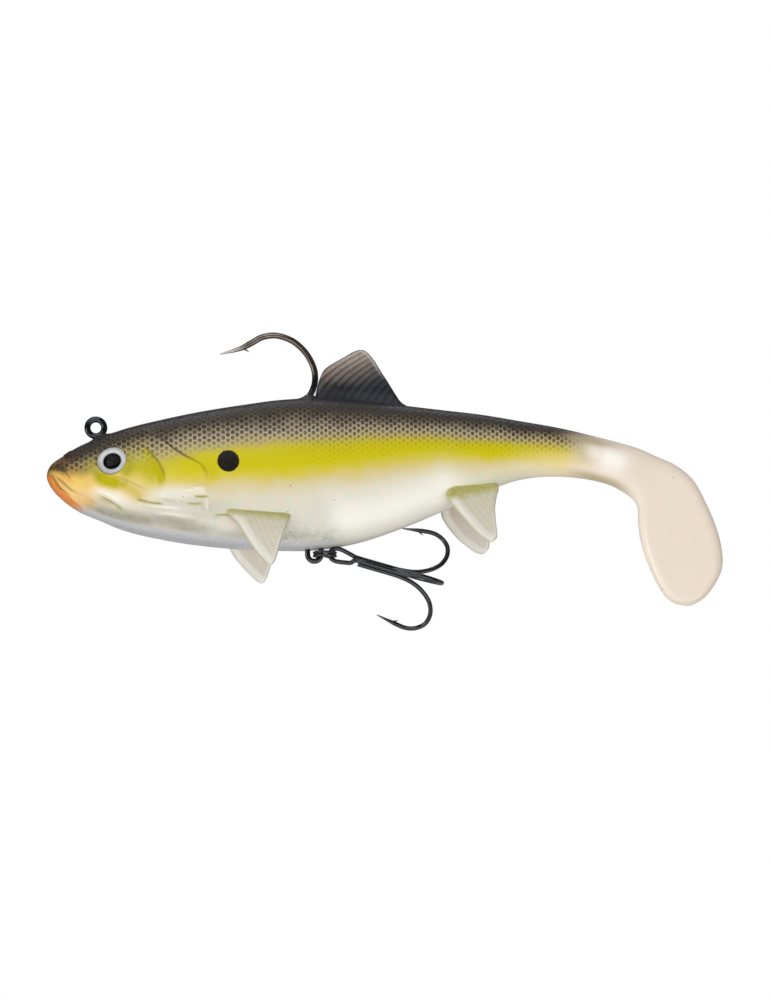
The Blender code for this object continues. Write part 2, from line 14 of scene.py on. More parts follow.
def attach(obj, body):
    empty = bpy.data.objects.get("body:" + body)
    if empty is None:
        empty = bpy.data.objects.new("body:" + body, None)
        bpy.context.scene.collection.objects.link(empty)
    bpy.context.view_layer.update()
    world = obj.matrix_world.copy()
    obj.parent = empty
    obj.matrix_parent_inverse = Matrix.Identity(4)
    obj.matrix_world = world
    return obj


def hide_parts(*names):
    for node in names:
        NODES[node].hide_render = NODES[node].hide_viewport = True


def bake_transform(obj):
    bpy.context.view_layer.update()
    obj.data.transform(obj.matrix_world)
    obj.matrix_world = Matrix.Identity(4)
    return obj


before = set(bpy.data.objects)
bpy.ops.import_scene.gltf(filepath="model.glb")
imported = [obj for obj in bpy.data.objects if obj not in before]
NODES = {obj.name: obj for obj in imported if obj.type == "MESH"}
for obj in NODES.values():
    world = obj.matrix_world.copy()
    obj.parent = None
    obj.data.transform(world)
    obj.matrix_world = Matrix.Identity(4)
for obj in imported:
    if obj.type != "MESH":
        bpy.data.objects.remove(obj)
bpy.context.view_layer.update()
MM = 0.001

# Camera: the direction it looks from, the scale of the picture and the point on its axis.
VIEW_AZIMUTH, VIEW_ELEVATION = -4.0, -7.0
LENS, SENSOR = 250.0, 36.0
PICTURE_HEIGHT = 206.8
AIM_RIGHT, AIM_UP = 59.8, -15.1

# Body lines: x, height of the back, height of the belly, half width.
TIP_X = -10.2
BODY_STATIONS = np.array([
    (TIP_X, -10.3, -10.3, 0), (-10, -9.3, -11.3, 1.2), (-9.2, -7.9, -12.8, 2.9),
    (-7.3, -6.5, -14.9, 4.2), (-3.1, -3.9, -17.8, 5.7), (1, -2.2, -19.4, 6.8),
    (5.2, -0.6, -21, 7.7), (13.5, 1.6, -22.9, 8.8), (21.8, 3.4, -24.1, 9.3), (30, 4.8, -24.8, 9.4),
    (38.4, 6, -25.1, 9.1), (46.6, 6.4, -24.9, 8.5), (54.9, 6, -23.4, 7.7), (63.2, 5.1, -20.6, 6.7),
    (71.5, 4.2, -17.1, 5.6), (79.8, 3.3, -13.2, 4.6), (88.1, 2, -10.2, 3.8), (96.4, 0.6, -9.5, 3.2),
    (104.7, -1.3, -10.7, 2.7), (114, -3.8, -15, 2.2),
])
WIDEST_AT = 0.48
BACK_POWER = 2.0
BELLY_POWER = np.array([
    (-10.2, 2.3), (-6, 2.5), (0, 3.2), (8, 4.6), (20, 5.2), (44, 5), (58, 3.6), (70, 2.9),
    (90, 2.5), (102, 2.3),
])
TAIL_SPLIT_X = 100.5

# Tail stations: front edge x and z, rear edge x and z, half thickness, width of the rounded edges
# and the plate's share of the section.
TAIL_STATIONS = [
    (103.9, -10.4, 104.4, -1.25, 2.75, 5, 0.2), (106.9, -11.3, 108.4, -2.25, 2.5, 4.8, 0.5),
    (109.4, -12.65, 112.4, -3.4, 2.1, 4.4, 0.8), (111.4, -14.1, 116.6, -5.2, 1.75, 3.6, 1),
    (112.4, -15.9, 120.6, -7.05, 1.55, 2.8, 1), (112.5, -18.6, 124.2, -10.2, 1.45, 2.3, 1),
    (112.85, -21.8, 126.9, -15.2, 1.4, 2.2, 1), (113.7, -25.2, 128.8, -19.8, 1.4, 2.2, 1),
    (114.9, -28.5, 129.9, -24.2, 1.4, 2.2, 1), (116.3, -31.5, 130, -28.2, 1.38, 2.2, 1),
    (117.9, -34.1, 128.5, -31.7, 1.3, 2.2, 1), (120.1, -35.8, 126.2, -34.6, 1.1, 2, 1),
    (122.8, -36.4, 123.6, -36.25, 0, 2, 1),
]

HALF_RING = 130           # segments from the back to the belly along one side
SKIN_OVERLAP = 0.02       # how far the end of each piece of skin is tucked under the other piece

# Lines on the side, as points (x, z), that carry both relief and paint.
MOUTH = [(-10, -9.9), (-9.3, -10.7), (-8.5, -12.1), (-7.7, -13.3), (-6.5, -14.3), (-5.3, -15.3)]
CHIN_FOLD = [
    (-9.2, -10.2), (-7.8, -11.5), (-6.7, -12.5), (-5.6, -13.6), (-4.1, -14.6), (-2.7, -15.3),
    (-1.1, -16.3), (0.7, -17.3),
]
SNOUT_CREASE = [(-8.6, -9.1), (-6.9, -9.6), (-6.1, -10.5), (-5.3, -11.5), (-4.6, -12.1)]
CHEEK_SLIT = [(3.1, -11.1), (5.2, -11.7), (7.1, -12.5), (9, -13.5), (10.5, -14.1), (12.1, -14.2)]
JAW_SLIT = [(8.1, -15.9), (10.8, -16.7), (13.6, -17)]
JAW_RIDGE = [(8.4, -16.8), (11, -17.5), (14.2, -17.9), (18.5, -18.2)]
GILL_SLIT = [(20, -15.4), (22.9, -15.5)]
LOW_SLIT = [(18.5, -17), (21.8, -16.8)]
THROAT_RIDGE = [(10.9, -19), (13.6, -19.2), (16.5, -19.5), (19.5, -19.9), (21.6, -19.6)]
NOSTRIL = [(-7, -7), (-6, -6.4), (-5.1, -6.3)]

# Moulded relief: height, negative for a groove, width and points.
GROOVES = [
    (-0.42, 0.3, MOUTH),
    (-0.26, 0.3, CHIN_FOLD),
    (-0.16, 0.26, SNOUT_CREASE),
    (-0.24, 0.32, [(-0.4, -14.7), (1.4, -15.6), (3.5, -16.9), (5.3, -18.2), (5.9, -19.1)]),
    (0.22, 0.45, [(-0.6, -14), (1.5, -14.9), (3.8, -16.1), (5.9, -17.6)]),
    (-0.18, 0.28, CHEEK_SLIT),
    (-0.26, 0.3, JAW_SLIT),
    (0.4, 0.4, JAW_RIDGE),
    (-0.2, 0.55, [(12.2, -15.7), (14.9, -16.1), (17.4, -16.5)]),
    (-0.28, 0.24, GILL_SLIT),
    (-0.26, 0.24, LOW_SLIT),
    (0.4, 0.36, [(17.2, -15), (19.2, -14.6), (21.4, -14), (22.9, -14.5)]),
    (-0.3, 0.6, [(14, -19.6), (16.5, -20.5), (19.2, -20.9), (21, -20.4)]),
    (0.3, 0.45, THROAT_RIDGE),
    (0.2, 0.3, [(20.4, -17.2), (21.4, -17.9), (21.9, -18.8)]),
    (-0.2, 0.25, [(21, -18.6), (20, -19)]),
    (0.22, 0.4, [(14.5, -21), (18.8, -21.7), (21, -21.5), (22.6, -20.9)]),
    (0.16, 0.5, [(22.5, -15.4), (22.7, -17.2), (22.5, -19)]),
    (0.12, 0.2, [(23.8, -19.6), (23.9, -21.1), (24.4, -23.4)]),
    (-0.26, 0.22, [(24, -19.3), (26.4, -19.2), (28.4, -19.1)]),
    (-0.2, 0.22, [(40.6, -20.1), (43, -20.5)]),
    (-0.24, 0.5, NOSTRIL),
    (0.2, 0.6, [(-6.9, -6.2), (-5.9, -5.6), (-5, -5.4)]),
    (-0.1, 0.22, [(69.5, -15.2), (71.8, -14.7)]),
    (-0.1, 0.2, [(69.5, -15.2), (67.9, -16.3), (67.6, -18.2)]),
    (-0.1, 0.25, [(113.2, -17.5), (113.4, -20.5), (114, -24), (115.3, -28.9), (116.9, -32.3),
        (118.4, -34.6)]),
]
# Raised plates with a free edge: height, edge width, how far back the lip fades, edge points.
LIPS = [
    (0.36, 0.16, 6, [(8.8, 0), (11.5, -1.9), (13.8, -3.5), (15.6, -5.3), (18.1, -6.95),
        (19.8, -7.8), (21.6, -9.1), (22.4, -10.8), (22.4, -12.7)]),
    (0.24, 0.2, 3, [(9.7, -5.1), (11.2, -6.6), (12.6, -8.4), (13.5, -10.3), (13.7, -11.9),
        (13.2, -13.4)]),
]
# Swellings where wire enters the back: x, stretch along x, radius, height and lowest z.
SEATS = [(44.1, 1.5, 0.95, 1.0, 2.0), (0.9, 1.0, 1.5, 0.8, -5.0)]

# Paint: heights on the side of the end of the solid back, the lightest net, the end of the dots,
# the start and end of the full yellow, and the start of the pearl, by x.
PAINT_STATIONS = np.array([
    (-10.2, -8.3, -9.2, -9.7, -10.2, -10.6, -12), (-7, -8, -9.2, -9.9, -10.5, -11, -12.8),
    (-4, -7, -9.1, -10.2, -10.9, -11.5, -13.4), (-1, -5.1, -8.1, -9.6, -10.4, -11, -13.4),
    (6.7, -2.1, -5.1, -8.2, -9.5, -10.9, -14.4), (13.9, -0.6, -4.1, -7.5, -9.2, -11.2, -14),
    (21.1, 0.8, -3.1, -5.9, -7.2, -9.8, -13.6), (31.5, 2.4, -1.8, -4.4, -6.2, -9.4, -12.9),
    (39.8, 3.4, -1.5, -3.4, -5.3, -9, -12.4), (48.1, 3.3, -1.1, -3, -5, -7.8, -11.4),
    (58.6, 2.7, -0.6, -2.3, -3.8, -6.6, -10), (69.3, 2.2, -0.4, -2.1, -3.6, -5.4, -8.8),
    (79.6, 1.4, -1, -2.5, -3.9, -5.6, -8), (87.8, 0.3, -1.5, -2.8, -3.8, -5.3, -7.4),
    (94.1, -0.6, -2, -3.2, -4.2, -5.2, -7.6), (101, -1.3, -2.6, -3.6, -4.6, -5.4, -7.8),
])
PAINT_LEVELS = (0.0, 1.0, 2.0, 3.0, 4.0, 5.0, 6.0, 8.0)   # band at the back, the stations and below
# Strokes for the masks, airbrushed paint and painted light and shade alike: radius, strength, fade at
# the ends and points (x, z).
STROKES = {
    "warm": [
        (3.4, 1, 0, [(-8.8, -10.8), (-5.5, -12.2), (-2.5, -12.9), (0.8, -12.8)]),
        (2.2, 0.95, 0, [(-7, -13.2), (-4.5, -15), (-1.6, -16.2)]),
        (1.6, 0.5, 0, [(1, -13.4), (4.5, -13.9), (8, -14.6)]),
    ],
    "jaw": [
        (2.4, 1.4, 0, [(-10.4, -10.6), (-9.3, -12.4), (-7.8, -14.3), (-6.2, -15.9), (-4.4, -17.2)]),
        (1, 0.6, 0.4, [(-5.2, -16.9), (-3.6, -17.9), (-2.2, -18.6)]),
    ],
    "snout": [
        (1.1, 0.97, 0, [(-10.3, -9.2), (-9.4, -8.9), (-7.8, -9), (-6.8, -9.4)]),
        (1.2, 0.5, 0, [(-7.4, -9.2), (-5, -9.6), (-2.6, -9.8)]),
    ],
    "olive": [
        (1.2, 1.5, 0, [(1, -11.5), (2.2, -12.1), (3.6, -12.5)]),
        (1.1, 0.85, 0, [(3.4, -12.5), (5.6, -12.9)]),
        (1.1, 0.5, 0, [(6, -13.4), (7.6, -14.4), (8.6, -15.2)]),
        (2.1, 0.85, 0, [(6.4, -9.4), (7.9, -8.8), (9.8, -9), (11.2, -10.4)]),
        (0.85, 1.7, 0.3, [(9, -5), (10.6, -7), (11.9, -8.8), (12.8, -10.6), (13, -12),
            (12.5, -13.4)]),
        (0.8, 0.8, 0.4, [(4.9, -10.4), (6.2, -8.9), (6.4, -7)]),
        (1.2, 0.4, 0.4, [(22.9, -8.2), (23.4, -10.4), (23, -12.2)]),
    ],
    "streak": [
        (1.1, 0.65, 0, [(-1.2, -8.4), (-0.9, -9.6), (0.2, -10.8)]),
        (0.9, 0.5, 0, [(6, -10.4), (6.7, -8.8), (6.7, -6.6)]),
        (0.26, 0.9, 0.3, [(9.9, -5.2), (11.4, -6.8), (12.8, -8.8), (13.6, -10.6), (13.8, -12)]),
        (0.28, 1.1, 0.2, JAW_SLIT),
        (0.22, 1, 0.2, GILL_SLIT),
        (0.2, 0.8, 0.2, LOW_SLIT),
        (0.2, 0.9, 0.2, [(24, -19.3), (26.4, -19.2), (28.2, -19.1)]),
        (0.26, 0.7, 0.3, [(0.4, -15.2), (3.5, -16.8), (5.6, -18.6)]),
    ],
    # Painted crease shade: dark lines in the moulded grooves, the nostril and under the gill plates'
    # edges.
    "ink": [
        (0.2, 0.95, 0.35, [(9.4, -0.5), (11.5, -2), (13.8, -3.6), (15.6, -5.4), (18.1, -7.05),
            (19.8, -7.9), (21.4, -9)]),
        (0.18, 0.35, 0.4, [(20.8, -8.6), (21.9, -9.7), (22.4, -10.8)]),
        (0.17, 0.4, 0.4, [(8.6, -3.9), (9.9, -5.2), (11.3, -6.7), (12.7, -8.6)]),
        (0.2, 0.55, 0.3, CHIN_FOLD[:5]),
        (0.22, 0.6, 0.3, MOUTH[:5]),
        (0.2, 0.6, 0.3, SNOUT_CREASE[:4]),
        (0.18, 0.3, 0.3, CHEEK_SLIT[:5]),
        (0.45, 0.8, 0.3, NOSTRIL),
    ],
    # Painted shade: greyer bands in the creases and along the lower head and flank, and a faint band
    # across the flank.
    "shade": [
        (1.6, 0.95, 0.25, [(-3, -17), (0, -18), (4, -19), (9, -20), (14, -21)]),
        (1.6, 0.85, 0.4, [(4, -18.9), (9, -19.7), (14, -20.5), (20, -21.8), (27, -22.9)]),
        (1.1, 0.45, 0.4, [(20, -22.5), (30, -23.4), (40, -23.8)]),
        (1, 0.5, 0.4, [(-1, -15.4), (2, -16.6), (4.4, -18)]),
        (0.5, 0.45, 0.4, [(12.2, -15.8), (14.9, -16.2), (17.4, -16.6)]),
        (3, 0.34, 0.4, [(9, -17.2), (19, -17.8), (30, -18.6)]),
        (2.8, 0.2, 0.5, [(45, -15), (46.6, -19), (47.6, -23.2)]),
    ],
    # Painted light: pale bands on the head's lit ridges and a broad pool of light on the lower flank.
    "bright": [
        (4.2, 0.9, 0, [(50, -19.5), (57, -18.6), (64, -16.4), (72, -12.8)]),
        (1.6, 0.75, 0.4, [(10, -15.2), (15, -14.9), (21, -15)]),
        (1.4, 0.7, 0.4, [(-2, -14), (1.6, -14.6), (5, -16), (7, -17.4)]),
        (1, 0.6, 0.4, [(13, -17.6), (17, -17.9), (21.5, -17.9)]),
    ],
    # Painted shade on the tail stem: along its top, its lower edge and its upper front.
    "painted_stem_shade": [
        (1, 0.85, 0.35, [(95.5, -1), (101, -2), (106, -3), (110, -4)]),
        (0.9, 0.9, 0.4, [(97, -9), (101, -9.4), (105, -10.3), (108.5, -11.6), (111.5, -13.8)]),
        (1.6, 0.5, 0.5, [(98, -3.4), (101, -5), (103.5, -7.6)]),
    ],
    # Painted highlights: a near-white blob on the tail stem, and thin glints along the head's ridges
    # and the paddle's front edge.
    "glow": [
        (2.4, 1, 0, [(106.4, -5.9), (108, -6.3)]),
        (0.24, 0.8, 0.4, [(9, -16.5), (11.4, -17.2), (14.4, -17.6), (17.6, -17.8)]),
        (0.22, 0.8, 0.4, [(17.4, -14.5), (19.4, -14.1), (21.4, -13.6), (22.8, -14)]),
        (0.3, 0.5, 0.4, [(11.5, -18.8), (14, -18.9), (17, -19.2), (20, -19.5)]),
        (0.26, 0.55, 0.4, [(-1, -13.6), (1.6, -14.5), (3.9, -15.8), (5.6, -17.1)]),
        (1.6, 0.6, 0.5, [(100.5, -4.6), (103.5, -5), (107, -5.8)]),
        (0.35, 0.35, 0.5, [(22.5, -15.2), (22.6, -16.8), (22.5, -18.6)]),
        (0.6, 0.4, 0.5, [(19.4, -14.6), (22.6, -14.3)]),
        (0.22, 0.5, 0.4, [(113.9, -19.5), (114.4, -24), (115.8, -28.9), (117.4, -32.2),
            (118.8, -34.3)]),
    ],
    "wet": [
        (0.7, 1, 0.3, JAW_RIDGE),
        (0.7, 1, 0.3, [(17.2, -14.9), (19.2, -14.7), (21.4, -14.2), (22.9, -14.6)]),
        (0.6, 1, 0.3, [(22.5, -15), (22.7, -17), (22.5, -19.4)]),
        (0.8, 1, 0.3, THROAT_RIDGE[:4]),
        (0.8, 0.9, 0.3, [(-1.6, -14), (1.5, -14.9), (3.8, -16.1), (5.9, -17.6)]),
        (0.6, 0.8, 0.3, [(-7.6, -7.4), (-6, -5.8), (-4.6, -5.2)]),
    ],
    "frost": [
        (2.2, 1, 0, [(39.5, -23.6), (43, -23.9), (48, -23.4)]),
    ],
}
SPOT = (26.9, -8.0)
SPOT_R = 2.3
SCALE_HEIGHT = 1.22
SCALE_COLUMNS = ((-10.0, 0.97), (32.0, 0.97), (46.0, 0.85), (104.0, 0.85))

# Eyes.
EYE_X, EYE_Z = 2.9, -7.5
EYE_FACING = Vector((-0.24, 0.883, 0.402))
SOCKET_R, SOCKET_FLOOR = 3.2, -1.3
EYE_R = 3.05
SIDES = (("left", -1), ("right", 1))


def rgb(code):
    """Linear colour with alpha 1 for a display colour written as six hex digits."""
    parts = [int(code[i:i + 2], 16) / 255 for i in (0, 2, 4)]
    return (*[p / 12.92 if p <= 0.04045 else ((p + 0.055) / 1.055) ** 2.4 for p in parts], 1.0)


def smoothstep(low, high, value):
    t = np.clip((value - low) / (high - low), 0.0, 1.0)
    return t * t * (3.0 - 2.0 * t)


def window(value, *marks):
    """Rise from 0 to 1 between the first two marks and fall back between the last two."""
    return smoothstep(*marks[:2], value) * (1 - smoothstep(*marks[2:], value))


# ---------------------------------------------------------------- material building

NOISE_SPAN = (0.3, 0.7)   # where nearly all of a noise texture lies


class Material:
    """A Principled material under construction, with short calls for the nodes that feed it."""

    def __init__(self, name, **constants):
        self.material = bpy.data.materials.new(name)
        self.material.use_nodes = True
        self.tree = self.material.node_tree
        self.shader = self.tree.nodes["Principled BSDF"]
        self.base = None
        for socket, value in constants.items():
            self.shader.inputs[socket.replace("_", " ")].default_value = value

    def node(self, kind, *inputs, out=0, **settings):
        """One output of a new node; inputs are outputs, values, attributes' names or None."""
        made = self.tree.nodes.new(kind)
        for key, value in settings.items():
            setattr(made, key, value)
        for place, value in enumerate(inputs):
            if isinstance(value, str):
                value = self.attribute(value)
            if isinstance(value, bpy.types.NodeSocket):
                self.tree.links.new(value, made.inputs[place])
            elif value is not None:
                made.inputs[place].default_value = value
        return made.outputs[out]

    def attribute(self, name, out="Fac"):
        return self.node("ShaderNodeAttribute", out=out, attribute_name=name)

    def math(self, operation, *inputs, clamp=False):
        return self.node("ShaderNodeMath", *inputs, operation=operation, use_clamp=clamp)

    def times(self, value, *factors):
        for factor in factors:
            value = self.math("MULTIPLY", value, factor)
        return value

    def vector(self, operation, *inputs, out=0):
        return self.node("ShaderNodeVectorMath", *inputs, out=out, operation=operation)

    def noise(self, place, scale, detail=2.0, out=0):
        return self.node("ShaderNodeTexNoise", place, None, scale, detail, out=out)

    def spread(self, value, low, high, to_low=0.0, to_high=1.0, smooth=True):
        """Map Range, smooth by default."""
        kind = "SMOOTHSTEP" if smooth else "LINEAR"
        return self.node("ShaderNodeMapRange", value, low, high, to_low, to_high,
                         interpolation_type=kind)

    def even(self, noise, low, high):
        """A noise spread evenly between two levels."""
        return self.spread(noise, *NOISE_SPAN, low, high, smooth=False)

    def mix(self, factor, first, second):
        inputs = (factor, None, None, None, None, None, first, second)
        return self.node("ShaderNodeMix", *inputs, out=2, data_type="RGBA")

    def ramp(self, factor, *stops):
        """Colour ramp; stops are (position, hex colour or grey level)."""
        colour = self.node("ShaderNodeValToRGB", factor)
        elements = colour.node.color_ramp.elements
        elements.remove(elements[0])
        for index, (position, shade) in enumerate(stops):
            element = elements.new(position) if index else elements[0]
            element.position = position
            element.color = rgb(shade) if isinstance(shade, str) else (shade, shade, shade, 1.0)
        return colour

    def clouds(self, place, scale, detail, *stops):
        return self.ramp(self.noise(place, scale, detail), *stops)

    def specks(self, place, scale, core, edge, chance):
        """Mask of round specks in the cells picked by chance, and the cells' random colours."""
        gap = self.node("ShaderNodeTexVoronoi", place, None, scale)
        tint = gap.node.outputs["Color"]
        picked = self.math("GREATER_THAN", self.node("ShaderNodeSeparateColor", tint), chance)
        return self.times(self.spread(gap, core, edge, 1.0, 0.0), picked), tint

    def paint(self, mask, colour):
        """Lay a colour, an output or hex digits, over the base."""
        colour = rgb(colour) if isinstance(colour, str) else colour
        self.base = self.mix(mask, self.base, colour)

    def bump(self, height, strength, distance, normal=None):
        surface = self.node("ShaderNodeBump")
        for socket, value in (("Strength", strength), ("Distance", distance)):
            surface.node.inputs[socket].default_value = value
        for socket, value in (("Height", height), ("Normal", normal)):
            if value is not None:
                self.tree.links.new(value, surface.node.inputs[socket])
        return surface

    def feed(self, **outputs):
        """Link outputs to the shader's sockets, the base to its colour, and give the material."""
        for socket, value in {"Base_Color": self.base, **outputs}.items():
            self.tree.links.new(value, self.shader.inputs[socket.replace("_", " ")])
        return self.material


# ---------------------------------------------------------------- curves and grids


def hermite(knots, values, at):
    """Cubic Hermite curve through rows of values at knots, sampled at an array of positions."""
    knots, values, at = np.asarray(knots), np.asarray(values), np.asarray(at)
    slopes = np.gradient(values, knots, axis=0)
    index = np.clip(np.searchsorted(knots, at, side="right") - 1, 0, len(knots) - 2)
    span = (knots[index + 1] - knots[index])[:, None]
    t = ((at - knots[index]) / span[:, 0])[:, None]
    return (
        (2 * t**3 - 3 * t**2 + 1) * values[index] + (t**3 - 2 * t**2 + t) * span * slopes[index]
        + (3 * t**2 - 2 * t**3) * values[index + 1] + (t**3 - t**2) * span * slopes[index + 1]
    )


def smooth_line(points, steps):
    """Points along a Catmull-Rom curve through the given ones, steps of them per span."""
    points = np.asarray(points, float)
    padded = np.vstack([2 * points[0] - points[1], points, 2 * points[-1] - points[-2]])
    t = (np.arange(steps) / steps)[:, None]
    spans = []
    for p0, p1, p2, p3 in zip(padded, padded[1:], padded[2:], padded[3:]):
        spans.append(0.5 * (2 * p1 + (p2 - p0) * t + (2 * p0 - 5 * p1 + 4 * p2 - p3) * t**2
                            + (3 * p1 - p0 - 3 * p2 + p3) * t**3))
    return np.vstack(spans + [points[-1:]])


def even_line(points, step):
    """The same route with points about a step apart."""
    lengths = np.concatenate([[0.0], np.cumsum(np.linalg.norm(np.diff(points, axis=0), axis=1))])
    count = max(2, round(lengths[-1] / step) + 1)
    at = np.linspace(0.0, lengths[-1], count)
    return np.stack([np.interp(at, lengths, points[:, c]) for c in range(points.shape[1])], axis=1)


def line_field(line, spots):
    """For each 2-D spot: distance from the line, positive on its left, and the share along it."""
    line = smooth_line(line, 4)
    starts, ends = line[:-1], line[1:]
    spans = ends - starts
    lengths = np.linalg.norm(spans, axis=1)
    before = np.concatenate([[0.0], np.cumsum(lengths)])
    best = np.full(len(spots), 1e9)
    side, share = np.zeros(len(spots)), np.zeros(len(spots))
    for start, span, length, covered in zip(starts, spans, lengths, before):
        offset = spots - start
        t = np.clip(offset @ span / length**2, 0.0, 1.0)
        gap = np.linalg.norm(offset - t[:, None] * span, axis=1)
        nearer = gap < best
        best = np.where(nearer, gap, best)
        turn = span[0] * offset[:, 1] - span[1] * offset[:, 0]
        side = np.where(nearer, np.sign(turn), side)
        share = np.where(nearer, (covered + t * length) / before[-1], share)
    return best, side, share


def tube(grid, ends=(0, -1), loop=False):
    """Points and faces, turned outwards, of a tube through rings; ends are the rings a fan closes."""
    rings, around = grid.shape[:2]
    start = np.arange(rings if loop else rings - 1)[:, None] * around
    beyond = (start + around) % (rings * around)
    column = np.arange(around)
    after = (column + 1) % around
    faces = np.stack([start + column, start + after, beyond + after, beyond + column], axis=2)
    faces = faces.reshape(-1, 4).tolist()
    points = grid.reshape(-1, 3)
    for end in ends:
        pole, first = len(points), end % rings * around
        points = np.vstack([points, grid[end].mean(axis=0)])
        for a, b in zip(first + column, first + after):
            faces.append([int(a), int(b), pole] if end else [int(b), int(a), pole])
    triangles = [(f[0], f[k], f[k + 1]) for f in faces for k in range(1, len(f) - 1)]
    a, b, c = points[triangles].transpose(1, 0, 2)
    if np.einsum("ij,ij->", a, np.cross(b, c)) < 0:
        faces = [face[:1] + face[:0:-1] for face in faces]
    return points, faces


def mesh_object(name, points, faces, material):
    mesh = bpy.data.meshes.new(name)
    mesh.from_pydata((np.asarray(points) * MM).tolist(), [], faces)
    mesh.validate()
    mesh.shade_smooth()
    mesh.materials.append(material)
    item = bpy.data.objects.new(name, mesh)
    bpy.context.scene.collection.objects.link(item)
    return item


def store(item, name, values):
    """A point attribute of numbers or (x, y, z) rows; a fan's pole takes the grid's last value."""
    values = np.asarray(values, np.float32)
    kind, key, width = ("FLOAT_VECTOR", "vector", 3) if values.shape[-1] == 3 else ("FLOAT", "value", 1)
    flat = values.reshape(-1, width)
    poles = np.repeat(flat[-1:], len(item.data.vertices) - len(flat), axis=0)
    attribute = item.data.attributes.new(name, kind, "POINT")
    attribute.data.foreach_set(key, np.vstack([flat, poles]).ravel())


def grid_normals(grid):
    along = np.gradient(grid, axis=0)
    around = np.roll(grid, -1, axis=1) - np.roll(grid, 1, axis=1)
    normal = np.cross(around, along)
    return normal / np.maximum(np.linalg.norm(normal, axis=2, keepdims=True), 1e-9)


# ---------------------------------------------------------------- the skin's shape

DENSE = (1.0 + np.cos(np.linspace(0.0, np.pi, 600))) / 2   # shares of the height, from the high edge


def ring(low, high, across, half_width, low_power=2.0, edge=1.0, plate=0.0, count=HALF_RING):
    """A closed section between two edge points: from the high one down one side and up the other.

    It is a superellipse, a plate with rounded edges, or a share of both.
    """
    low, high = np.asarray(low, float), np.asarray(high, float)
    size = np.linalg.norm(high - low)
    over = np.clip((DENSE - WIDEST_AT) / (1 - WIDEST_AT), 0, 1) ** BACK_POWER
    under = np.clip((WIDEST_AT - DENSE) / WIDEST_AT, 0, 1) ** low_power
    oval = np.where(DENSE > WIDEST_AT, (1 - over) ** (1 / BACK_POWER), (1 - under) ** (1 / low_power))
    inset = np.clip(1 - np.minimum(DENSE, 1 - DENSE) * size / edge, 0, 1)
    width = half_width * ((1 - plate) * oval + plate * np.sqrt(1 - inset**2))
    steps = np.hypot(np.diff(DENSE * size), np.diff(width))
    turn = np.abs(np.diff(np.unwrap(np.arctan2(np.diff(width), np.diff(DENSE * size)))))
    steps = steps + 0.5 * half_width * np.concatenate([[0.0], turn])
    run = np.concatenate([[0.0], np.cumsum(steps)])
    at = np.linspace(0.0, run[-1], count + 1)
    height, reach = np.interp(at, run, DENSE), np.interp(at, run, width)
    height[0], height[-1], reach[0], reach[-1] = 1.0, 0.0, 0.0, 0.0
    middle = low + (high - low) * height[:, None]
    left = middle - np.outer(reach, across)
    right = middle + np.outer(reach, across)
    return np.vstack([left, right[-2:0:-1]])


def body_lines(x):
    """Back, belly and half width at an array of x; the square root keeps the nose round."""
    return hermite(np.sqrt(BODY_STATIONS[:, 0] - TIP_X), BODY_STATIONS[:, 1:], np.sqrt(x - TIP_X))


def skin_grid():
    """All the rings from the nose to the tip of the paddle, before the relief."""
    near = TIP_X + np.linspace(0.06, 1.6, 24) ** 2
    head = np.arange(near[-1] + 0.25, 26.0, 0.25)
    rest = np.arange(head[-1] + 0.5, TAIL_SPLIT_X - 0.2, 0.5)
    x = np.concatenate([near, head, rest, [TAIL_SPLIT_X]])
    back, belly, half_width = body_lines(x).T
    power = np.interp(x, BELLY_POWER[:, 0], BELLY_POWER[:, 1])
    across = np.array((0.0, 1.0, 0.0))
    rings = [ring((a, 0, low), (a, 0, high), across, w, p)
             for a, low, high, w, p in zip(x, belly, back, half_width, power)]
    split = len(rings) - 1
    stem_x = np.array((92.0, 96.25, TAIL_SPLIT_X))
    stem = [(a, low, a, high, w, 5.0, 0.0)
            for a, (high, low, w) in zip(stem_x, body_lines(stem_x))]
    table = np.array(stem + TAIL_STATIONS)
    last = len(table) - 1
    at = np.concatenate([np.linspace(2.0, last - 1.0, 108)[1:], last - np.linspace(1.0, 0.03, 20)[1:]])
    for ax, az, bx, bz, thick, edge, plate in hermite(np.arange(len(table)), table, at):
        rings.append(ring((ax, 0, az), (bx, 0, bz), across, max(thick, 0.02), 2.3,
                          max(edge, 0.3), min(max(plate, 0.0), 1.0)))
    return np.array(rings), split


def faded(share, start, end, low=0.0):
    """1 along a line and less towards its two ends."""
    return smoothstep(low, start, share) * smoothstep(low, end, 1 - share)


def relief(spots):
    """Height of the moulded detail at each (x, z), in millimetres."""
    height = np.zeros(len(spots))
    for depth, width, line in GROOVES:
        gap, _, share = line_field(line, spots)
        height += depth * np.exp(-(gap / width) ** 2) * (0.15 + 0.85 * faded(share, 0.18, 0.18))
    for rise, edge, fade, line in LIPS:
        gap, side, share = line_field(line, spots)
        inside = -side * gap
        lip = smoothstep(-edge, edge, inside) * np.exp(-np.maximum(inside, 0) / fade)
        height += (rise * lip * faded(share, 0.25, 0.2)
                   * np.exp(-(np.maximum(gap - fade * 3, 0)) ** 2))
    return height


def stroke_mask(strokes, spots):
    mask = np.zeros(len(spots))
    for radius, strength, fade, line in strokes:
        gap, _, share = line_field(line, spots)
        ends = faded(share, fade, fade, -0.3 * fade) if fade else 1.0
        mask = np.maximum(mask, strength * ends * np.exp(-(gap / radius) ** 2))
    return np.clip(mask, 0.0, 1.0)


